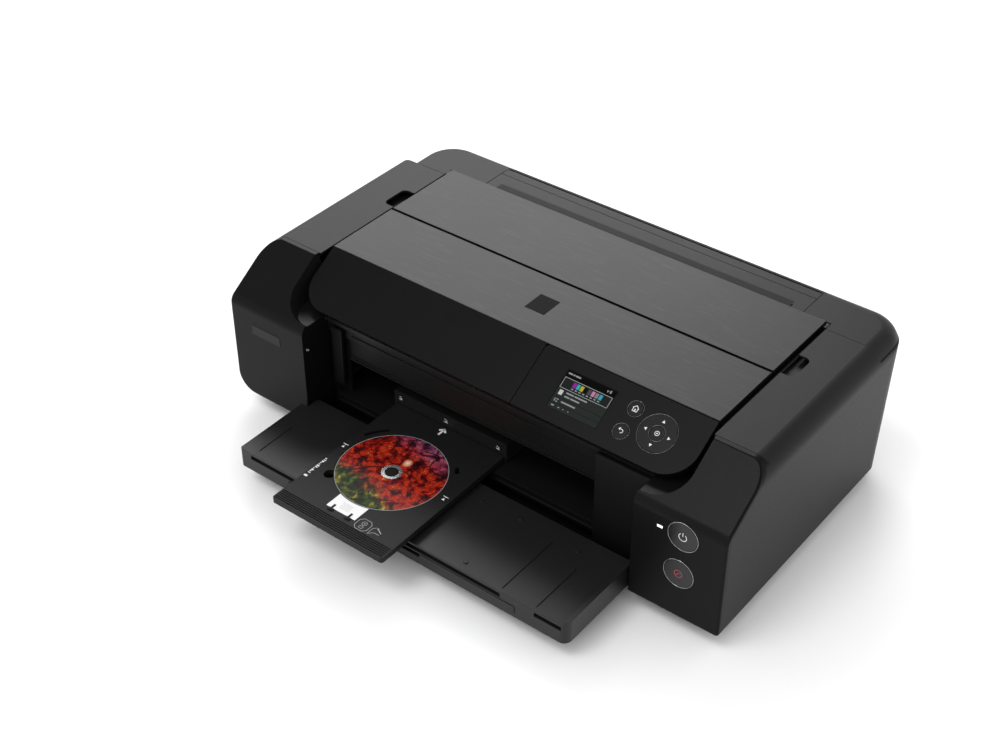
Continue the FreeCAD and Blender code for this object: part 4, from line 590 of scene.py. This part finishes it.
def arrow_head(centre, turn, size):
    """A small filled triangle pointing along turn, in degrees from +X."""
    deselect()
    bpy.ops.mesh.primitive_cylinder_add(vertices=3, radius=size, depth=mark_height)
    head = bpy.context.object
    head.rotation_euler = (0.0, 0.0, radians(turn - 90.0))
    head.location = (*centre, 0.0)
    edit_all(head)
    bpy.ops.mesh.bevel(offset=size * 0.06, segments=1, affect="EDGES")
    bpy.ops.object.mode_set(mode="OBJECT")
    bpy.ops.object.transform_apply(location=True, rotation=True, scale=True)
    return head


arrow_reach = 13.1 * mm
heads = [arrow_head((arrow_reach * cos(turn), arrow_reach * sin(turn)), turn * 180.0 / pi, 2.0 * mm)
         for turn in (0.0, pi / 2, pi, -pi / 2)]
ring_marks = lay(joined("ring_marks", heads), on_key(*ring_spot))
finish_piece(ring_marks, white_ink, "navigation_ring")

glass, glass_shader, glass_place = start_finish("display_glass", {"Specular IOR Level": 0.12})
glass_cloud = noise(glass_place, 40.0)
feed(glass_shader, "Base Color", blended(glass_cloud, (0.004, 0.004, 0.004), (0.006, 0.006, 0.006)))
feed(glass_shader, "Roughness", noise(glass_place, 60.0) * 0.04 + 0.1)
dress(glass, "display_screen")

back_light = {"Roughness": 0.5, "Specular IOR Level": 0.02, "Emission Strength": 0.7}
lcd, lcd_shader, lcd_place = start_finish("display_picture", back_light)
lcd_colour = lcd_place.node("Attribute", {"attribute_name": "light"}, {}, "Color")
lcd_rows = lcd_place.node("TexWave", {"bands_direction": "X"}, {"Vector": lcd_place, "Scale": 700.0}, 1)
lcd_dark = blended(lcd_rows * 0.15 + 0.85, (0.0, 0.0, 0.0), lcd_colour)
feed(lcd_shader, "Emission Color", lcd_dark)
lcd_shader.inputs["Base Color"].default_value = (0.001, 0.001, 0.001, 1.0)
screen_left, screen_top = 80.5, 15.7
picture_depth, layer_step = 0.13, 0.02


def lcd_patch(x, s, width, height, colour, level=2):
    """A lit part of the picture: x right and s down from the display's top left, in millimetres."""
    deselect()
    middle = (screen_left + x + width / 2, -(screen_top + s + height / 2), level * layer_step - picture_depth)
    bpy.ops.mesh.primitive_plane_add(size=1.0, location=toned(middle, mm))
    patch = bpy.context.object
    patch.scale = (width * mm, height * mm, 1.0)
    bpy.ops.object.transform_apply(location=True, rotation=True, scale=True)
    edit_all(patch)
    bpy.ops.mesh.inset(thickness=min(width, height) * 0.12 * mm)
    bpy.ops.object.mode_set(mode="OBJECT")
    light = patch.data.color_attributes.new("light", "FLOAT_COLOR", "CORNER")
    for corner in light.data:
        corner.color = (*colour, 1.0)
    return patch


row_grey, text_grey = (0.030, 0.036, 0.033), (0.42, 0.44, 0.43)
rows = ((0.8, 7.2, (0.0015, 0.0015, 0.0015)), (8.0, 13.2, (0.020, 0.024, 0.022)), (21.4, 9.6, row_grey),
        (31.4, 6.4, row_grey), (38.2, 5.8, row_grey))
patches = [lcd_patch(0.8, s, 58.9, height, colour, 1) for s, height, colour in rows]
frame_grey = (0.55, 0.60, 0.57)
title_bars = ((2.4, 3.0, 5.0, 1.7), (8.2, 3.0, 2.2, 1.7), (11.2, 3.0, 6.0, 1.7), (52.6, 2.4, 1.8, 3.0),
              (49.0, 3.4, 2.4, 1.0), (49.7, 4.6, 1.0, 1.0))
frame_bars = ((1.6, 8.6, 57.0, 0.5), (1.6, 20.3, 57.0, 0.5), (1.6, 8.6, 0.5, 12.2), (58.1, 8.6, 0.5, 12.2))
patches += [lcd_patch(*sizes, text_grey) for sizes in title_bars]
patches += [lcd_patch(*sizes, frame_grey) for sizes in frame_bars]
inks = ((0.42, 0.03, 0.45), (0.05, 0.55, 0.62), (0.68, 0.56, 0.05), (0.004, 0.004, 0.004),
        (0.10, 0.09, 0.10), (0.75, 0.30, 0.50), (0.30, 0.30, 0.31), (0.06, 0.48, 0.62))
for i, colour in enumerate(inks):
    left = 13.6 + i * 4.5
    patches += [lcd_patch(left, 10.6, 3.6, 5.6, colour), lcd_patch(left + 0.4, 17.4, 2.6, 1.2, text_grey)]
patches.append(lcd_patch(4.0, 22.8, 4.4, 5.4, (0.80, 0.80, 0.80)))
text_bars = ((12.0, 23.0, 9.0, 1.5), (22.0, 23.0, 15.0, 1.5), (12.0, 27.0, 6.0, 1.5), (19.0, 27.0, 11.0, 1.5),
             (12.0, 33.6, 17.0, 1.5), (4.0, 32.8, 1.0, 3.6), (6.0, 32.8, 2.4, 1.0), (6.0, 35.4, 2.4, 1.0),
             (4.0, 40.0, 3.4, 1.4), (12.0, 40.4, 2.2, 1.0), (18.0, 40.4, 1.2, 1.0), (24.0, 40.4, 1.2, 1.0))
patches += [lcd_patch(*sizes, text_grey) for sizes in text_bars]
picture = lay(joined("display_picture", patches), fold)
finish_piece(picture, lcd, "printer_body")

# ---- disc tray ---------------------------------------------------------------------
# A rigid black carrier moulded in one piece, with printed white marks, a white card
# held by two hooks at its front and a seat for one disc.
tray_black = moulded("tray_black", (0.009, 0.009, 0.0094), 0.45, 0.14, 0.03 * mm, 0.5 * mm)
dress(tray_black, "disc_tray", "disc_tray_guide")
tray_top = 55.2 * mm


def on_tray(x, y):
    return Matrix.Translation((x * mm, y * mm, tray_top))


def head_mark(x, y, turn, size):
    """An arrow head given in millimetres."""
    return arrow_head((x * mm, y * mm), turn, size * mm)


feed_arrow = [line((0.0, -6.0), (0.0, 4.6), 2.3), line((0.4, 5.2), (-4.2, 0.6), 2.3),
              line((-0.4, 5.2), (4.2, 0.6), 2.3)]
feed_arrow = lay(joined("feed_arrow", feed_arrow), on_tray(-58.7, -145.6))
finish_piece(feed_arrow, white_ink, "disc_tray")
side_marks = []
stop_y = -224.0
for x, way in ((-126.0, 1.0), (11.5, -1.0)):
    side_marks += [line((x - 3.4 * way, stop_y), (x + 3.4 * way, stop_y), 0.7),
                   head_mark(x, stop_y - 4.6, 90.0, 2.1), line((x, stop_y - 2.0), (x, stop_y), 0.5)]
code_x, code_y, code_step = -127.6, -281.5, 2.7
for i, length in enumerate((3.4, 2.0, 2.8, 1.6, 3.4, 3.4, 2.2, 1.6, 2.8, 3.4, 2.0)):
    y = code_y + i * code_step
    side_marks.append(line((code_x, y), (code_x + length, y), 1.0 + 0.5 * (i % 3)))
side_marks.append(line((-127.8, -287.0), (-123.6, -287.0), 2.6))
side_marks = lay(joined("tray_side_marks", side_marks), on_tray(0.0, 0.0))
finish_piece(side_marks, white_ink, "disc_tray")
side, cut = 8.0, 4.4
outline = [(-side, -cut), (-side, cut), (-cut, side), (cut, side), (side, cut), (side, -cut), (cut, -side),
           (-cut, -side)]
guide_marks = [line(outline[i - 1], outline[i], 0.5) for i in range(len(outline))]
guide_marks += [ring_mark(0.0, 2.2, 2.7, 0.45), ring_mark(0.0, 2.2, 0.8, 0.4)]
guide_marks += [line(*ends, 0.45) for ends in (((-2.2, -2.2), (2.2, -2.2)), ((-2.2, -5.4), (2.2, -5.4)),
                                               ((-2.2, -2.2), (-2.2, -5.4)), ((2.2, -2.2), (2.2, -5.4)))]
guide_marks += [line((11.0, -7.0), (16.0, -2.0), 0.5), line((16.0, -2.0), (22.5, -2.0), 0.5),
                line((11.0, -7.0), (11.0, 2.0), 0.45), line((11.0, 2.0), (14.0, 5.0), 0.45),
                line((17.0, 4.0), (23.0, 0.6), 0.9), head_mark(16.0, 4.6, 150.0, 1.5)]
guide_marks = lay(joined("tray_guide_marks", guide_marks), on_tray(-27.5, -307.5))
finish_piece(guide_marks, grey_ink, "disc_tray")

disc_x, disc_y = -58.5, -228.0
card_left, card_right, card_front = -77.0, -38.6, -308.0
seat_radius = 61.6 * mm
deselect()
bpy.ops.mesh.primitive_grid_add(x_subdivisions=16, y_subdivisions=1, size=1.0,
                                location=((card_left + card_right) / 2 * mm, 0.0, tray_top + 0.1 * mm))
card = bpy.context.object
card.name = "label_card"
card.scale = ((card_right - card_left) * mm, 1.0, 1.0)
bpy.ops.object.transform_apply(location=True, rotation=True, scale=True)
for corner_point in card.data.vertices:
    across = corner_point.co.x - disc_x * mm
    seat_edge = disc_y * mm - (seat_radius ** 2 - across ** 2) ** 0.5
    corner_point.co.y = seat_edge if corner_point.co.y > 0.0 else card_front * mm
edit_all(card)
bpy.ops.mesh.extrude_region_move(TRANSFORM_OT_translate={"value": (0.0, 0.0, 0.35 * mm)})
bpy.ops.mesh.select_all(action="SELECT")
bpy.ops.mesh.normals_make_consistent(inside=False)
bpy.ops.object.mode_set(mode="OBJECT")
card_gloss = {"Roughness": 0.6, "Specular IOR Level": 0.25}
card_paper, card_shader, card_place = start_finish("card_paper", card_gloss)
fibre = noise(stretched(card_place, (500.0, 900.0, 900.0)), 1.0)
feed(card_shader, "Base Color", blended(fibre, (0.66, 0.66, 0.66), (0.78, 0.78, 0.78)))
finish_piece(settle(card), card_paper, "disc_tray")
print_lines = [line((-7.0 + 0.6 * (i % 3), -i * 1.7), (7.0 - 1.1 * (i % 2), -i * 1.7), 0.3)
               for i in range(6)]
print_place = Matrix.Translation((-58.0 * mm, -294.5 * mm, tray_top + 0.47 * mm))
card_print = lay(joined("card_print", print_lines), print_place)
finish_piece(card_print, grey_ink, "disc_tray")
hooks = []
hook_low, hook_edge = tray_top - 0.1 * mm, 0.25 * mm
for x in (-69.6, -46.6):
    for half, front, back, height in ((1.1, -312.0, -302.5, 1.3), (3.6, -311.8, -308.2, 1.0)):
        hooks.append(plate("hook", ((x - half) * mm, front * mm, hook_low),
                           ((x + half) * mm, back * mm, tray_top + height * mm), hook_edge))
hooks = settle(joined("card_hooks", hooks))
finish_piece(hooks, tray_black, "disc_tray")

# ---- disc ----------------------------------------------------------------------------
# A printable optical disc: clear polycarbonate with a silver ring round its hole and
# a printed face of warm leaf colours with dark boughs, green in front and violet behind.
disc_face, disc_shader, disc_place = start_finish("disc_print", {"Specular IOR Level": 0.05})
to_middle = (-disc_x * mm, -disc_y * mm, 0.0)
disc_spot = disc_place.node("Mapping", {}, {"Vector": disc_place, "Location": to_middle})
flat_spot = stretched(disc_spot, (1.0, 1.0, 0.0))
reach = flat_spot.node("VectorMath", {"operation": "LENGTH"}, {0: flat_spot}, "Value")
swirl = noise(flat_spot, 26.0, 3.0)
swirl_spot = flat_spot.node("TexNoise", {}, {"Vector": flat_spot, "Scale": 30.0, "Detail": 4.0}, "Color")
bent = flat_spot.node("VectorMath", {"operation": "MULTIPLY_ADD"},
                      {0: swirl_spot, 1: (0.022, 0.022, 0.0), 2: flat_spot})
fronds = noise(bent, 95.0, 6.0)


def leaves(stops):
    """The fronds in their colours, from the darkest to the palest."""
    return fronds.node("ValToRGB", {"stops": stops}, {"Fac": fronds})


warm = leaves(((0.32, (0.010, 0.002, 0.003)), (0.43, (0.070, 0.004, 0.004)), (0.50, (0.27, 0.010, 0.006)),
               (0.57, (0.42, 0.030, 0.008)), (0.63, (0.30, 0.012, 0.006)), (0.72, (0.62, 0.20, 0.03))))
cool = leaves(((0.36, (0.002, 0.004, 0.002)), (0.47, (0.010, 0.028, 0.004)), (0.56, (0.060, 0.085, 0.008)),
               (0.65, (0.25, 0.19, 0.015)), (0.75, (0.42, 0.36, 0.05))))
dusk = leaves(((0.38, (0.02, 0.01, 0.02)), (0.50, (0.05, 0.05, 0.16)), (0.62, (0.16, 0.15, 0.28))))


def side_share(way, low, high):
    """How far a place lies to one side of the disc, with a wavering edge."""
    along = flat_spot.node("VectorMath", {"operation": "DOT_PRODUCT"}, {0: flat_spot, 1: (*way, 0.0)},
                           "Value")
    return spread(along + (swirl - 0.5) * 0.045, low, high)


def cell_edge(scale, low, high, darkest):
    """Dark at the edges of cells of one size, and 1 inside them."""
    cells = bent.node("TexVoronoi", {"feature": "DISTANCE_TO_EDGE"}, {"Vector": bent, "Scale": scale},
                      "Distance")
    return spread(cells, low, high, darkest)


green_share = side_share((-0.30, -0.95), 0.024, 0.038)
dusk_share = side_share((0.20, 0.98), 0.030, 0.058) * 0.55
art = blended(dusk_share, blended(green_share, warm, cool), dusk)
art = blended(cell_edge(230.0, 0.02, 0.12, 0.40), (0.012, 0.004, 0.004), art)
thicket = spread(noise(flat_spot, 38.0), 0.46, 0.56)
bough_share = thicket.sum("MAXIMUM", cell_edge(46.0, 0.01, 0.05, 0.05), thicket)
art = blended(bough_share, (0.010, 0.004, 0.005), art)
# A pale spot beside the hub is a painted highlight: a glint mixed into the print colour.
glint_middle, glint_radius = (4.5 * mm, 20.5 * mm, 0.0), 5.5 * mm
glint_spot = flat_spot.node("VectorMath", {"operation": "SUBTRACT"}, {0: flat_spot, 1: glint_middle})
glint_spot = stretched(glint_spot, (1.0, 0.8, 0.0))
glint = glint_spot.node("VectorMath", {"operation": "LENGTH"}, {0: glint_spot}, "Value")
art = blended(spread(glint, 0.0, glint_radius, 0.80, 0.0), art, (0.85, 0.62, 0.42))
hub_radius, rim_radius = 11.2 * mm, 59.45 * mm
hub = reach < hub_radius
rim = reach > rim_radius
bare = blended(hub, (0.26, 0.27, 0.27), (0.56, 0.57, 0.56))
feed(disc_shader, "Base Color", blended(hub.sum("MAXIMUM", hub, rim), art, bare))
feed(disc_shader, "Metallic", hub * 0.9)
feed(disc_shader, "Roughness", hub * 0.05 + 0.22)
dress(disc_face, "disc")

# ---- disc guide flap -----------------------------------------------------------------
# A folding ramp above the mouth that leads the carrier in; small printed disc
# signs mark its middle and both ends.
flap_marks = []
for x, z, size in ((-60.5, 64.0, 2.3), (-124.0, 64.4, 1.9), (10.5, 63.0, 1.9)):
    flap_marks += [ring_mark(x, z, size, 0.5, 200.0, 290.0),
                   line((x - 0.2, z - 0.2), (x + size * 1.3, z - size * 0.9), 0.8)]
flap_marks = lay(joined("flap_marks", flap_marks), on_front(0.0, 0.0, -137.05 * mm))
finish_piece(flap_marks, white_ink, "disc_tray_guide")

# ---- output tray ---------------------------------------------------------------------
# A tray moulded in satin black that folds down from the foot of the mouth, with a
# sliding extension inside its front edge.
tray_satin = moulded("tray_satin", (0.0095, 0.0095, 0.0095), 0.36, 0.28, 0.012 * mm, 0.7 * mm)
dress(tray_satin, "output_tray", "output_tray_extension")

# ---- inside the mouth ----------------------------------------------------------------
# The casing behind the towers and the frame round the tank bay are moulded in dull
# black, so that stray light dies in them, and are screwed to the base.
mouth_black = moulded("mouth_black", (0.0045, 0.0045, 0.0045), 0.40, 0.20, 0.03 * mm, 0.5 * mm)
dress(mouth_black, "front_frame", "platen", "rear_feed_frame", "pinch_roller_holder", "upper_frame")

# ---- rear paper support and its guides ------------------------------------------------
# Two nested panels that pull up from the slot behind the lid, with two sliding
# side guides below them. A dull strip lies along the lid, and black strips of painted shadow lie at the rear.
dress(satin_black, "paper_support", "paper_support_extension")
dress(matte_black, "left_paper_guide", "right_paper_guide")
support_top = 189.5 * mm
grip_black = moulded("grip_black", (0.0085, 0.0085, 0.0085), 0.46, 0.07, 0.02 * mm, 0.1 * mm)
grip = plate("support_grip", (-186.0 * mm, 113.2 * mm, support_top - 0.2 * mm),
             (203.0 * mm, 124.0 * mm, support_top + 0.12 * mm), 0.05 * mm)
finish_piece(settle(grip, 12.0), grip_black, "paper_support")
bar_low, bar_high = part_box("paper_support_extension")
bar_left, bar_right = bar_low.x + 1.0 * mm, bar_high.x - 1.0 * mm
# Two black strips along the extension's rear are painted shadow, where its edges lie in shade.
edge_shadow_width = 1.5 * mm
for name, y, z, lean in (("support_rear_shadow", 155.6 * mm, support_top + 0.05 * mm, 0.0),
                         ("support_low_shadow", 160.9 * mm, 187.85 * mm, -26.0)):
    edge_shadow = shadow_strip(name, bar_left, bar_right, y, edge_shadow_width, z, lean)
    finish_piece(edge_shadow, shadow_black, "paper_support_extension")

# ---- chassis, rail and shafts ----------------------------------------------------------
# Zinc plated steel sheets screwed to the base, with a ground steel shaft for the
# carriage. The paper runs between rubber rollers, driven by pale moulded gears.
ground_bar = plated("ground_bar", (0.60, 0.60, 0.61), 0.22, (40.0, 900.0, 900.0))
dress(zinc_sheet, "left_chassis_plate", "right_chassis_plate", "carriage_rail")
dress(ground_bar, "guide_shaft", "star_wheels")


def roller(name, gear_edge):
    """Grey rubber bands with a moulded pale gear on the left end."""
    material, shader, place = start_finish(name, {"Specular IOR Level": 0.3})
    across = place.node("SeparateXYZ", {}, {"Vector": place}, "X")
    gear = across < gear_edge
    grit = noise(place, 1500.0)
    rubber = blended(grit, (0.045, 0.045, 0.048), (0.075, 0.075, 0.078))
    feed(shader, "Base Color", blended(gear, rubber, (0.62, 0.61, 0.56)))
    feed(shader, "Roughness", grit * 0.1 + 0.6 - gear * 0.2)
    return material


gear_side, no_gear = -281.0 * mm, -1.0
dress(roller("geared_roller", gear_side), "feed_roller", "exit_roller")
dress(roller("plain_roller", no_gear), "pickup_roller", "pinch_rollers")
gear_white = moulded("gear_white", (0.60, 0.59, 0.54), 0.42, 0.45, 0.01 * mm, 0.3 * mm)
dress(gear_white, "idler_gear", "motor_pinion", "drive_pulley", "idler_pulley")

belt, belt_shader, belt_place = start_finish("belt_rubber", {"Specular IOR Level": 0.3})
teeth = belt_place.node("TexWave", {"bands_direction": "X"}, {"Vector": belt_place, "Scale": 160.0}, 1)
feed(belt_shader, "Base Color", blended(teeth, (0.012, 0.012, 0.012), (0.035, 0.035, 0.036)))
feed(belt_shader, "Roughness", teeth * 0.1 + 0.6)
dress(belt, "timing_belt")

# ---- motors, boards and supply -----------------------------------------------------------
# Small can motors of bare steel, a lacquered board with its sockets at the back and
# a closed supply box, all screwed to the base.
motor_can = plated("motor_can", (0.42, 0.42, 0.43), 0.30, (60.0, 60.0, 700.0))
dress(motor_can, "carriage_motor", "feed_motor")
board, board_shader, board_place = start_finish("board_lacquer", {"Specular IOR Level": 0.5})
tracks = board_place.node("TexBrick", {}, {"Vector": board_place, "Scale": 160.0, "Mortar Size": 0.03},
                          "Fac")
feed(board_shader, "Base Color", blended(tracks, (0.006, 0.10, 0.035), (0.02, 0.20, 0.07)))
feed(board_shader, "Roughness", tracks * 0.15 + 0.35)
dress(board, "main_board")
dress(matte_black, "power_supply")

# ---- carriage, head and ink tanks --------------------------------------------------------
# A moulded grey carriage holds the print head and eight clipped-in dark tanks, each
# with a coloured paper label on its top.
head_grey = moulded("head_grey", (0.055, 0.055, 0.06), 0.45, 0.4, 0.02 * mm, 0.4 * mm)
tank_plastic = moulded("tank_plastic", (0.020, 0.020, 0.022), 0.25, 0.45, 0.004 * mm, 0.4 * mm)
dress(head_grey, "carriage", "print_head", "maintenance_station")
dress(tank_plastic, "ink_tanks")
tank_low, tank_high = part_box("ink_tanks")
label_inks = ((0.50, 0.02, 0.30), (0.02, 0.35, 0.60), (0.75, 0.60, 0.03), (0.02, 0.02, 0.02),
              (0.25, 0.25, 0.26), (0.75, 0.40, 0.50), (0.45, 0.45, 0.46), (0.30, 0.60, 0.70))
label_finish, label_shader, label_place = start_finish("tank_label", {"Roughness": 0.4})
label_colour = label_place.node("Attribute", {"attribute_name": "light"}, {}, "Color")
label_grain = noise(label_place, 400.0) * 0.15
feed(label_shader, "Base Color", blended(label_grain, label_colour, (0.5, 0.5, 0.5)))
labels = []
tank_gap, label_start, label_end = 0.3 * mm, 10.0 * mm, 42.0 * mm
pitch = (tank_high.x - tank_low.x + tank_gap) / len(label_inks)
for i, colour in enumerate(label_inks):
    left = tank_low.x + i * pitch
    label = plate("label", (left + 1.6 * mm, tank_low.y + label_start, tank_high.z - 0.1 * mm),
                  (left + pitch - 1.9 * mm, tank_low.y + label_end, tank_high.z + 0.2 * mm), 0.08 * mm)
    light = label.data.color_attributes.new("light", "FLOAT_COLOR", "CORNER")
    for corner_colour in light.data:
        corner_colour.color = (*colour, 1.0)
    labels.append(label)
labels = settle(joined("tank_labels", labels))
finish_piece(labels, label_finish, "carriage")
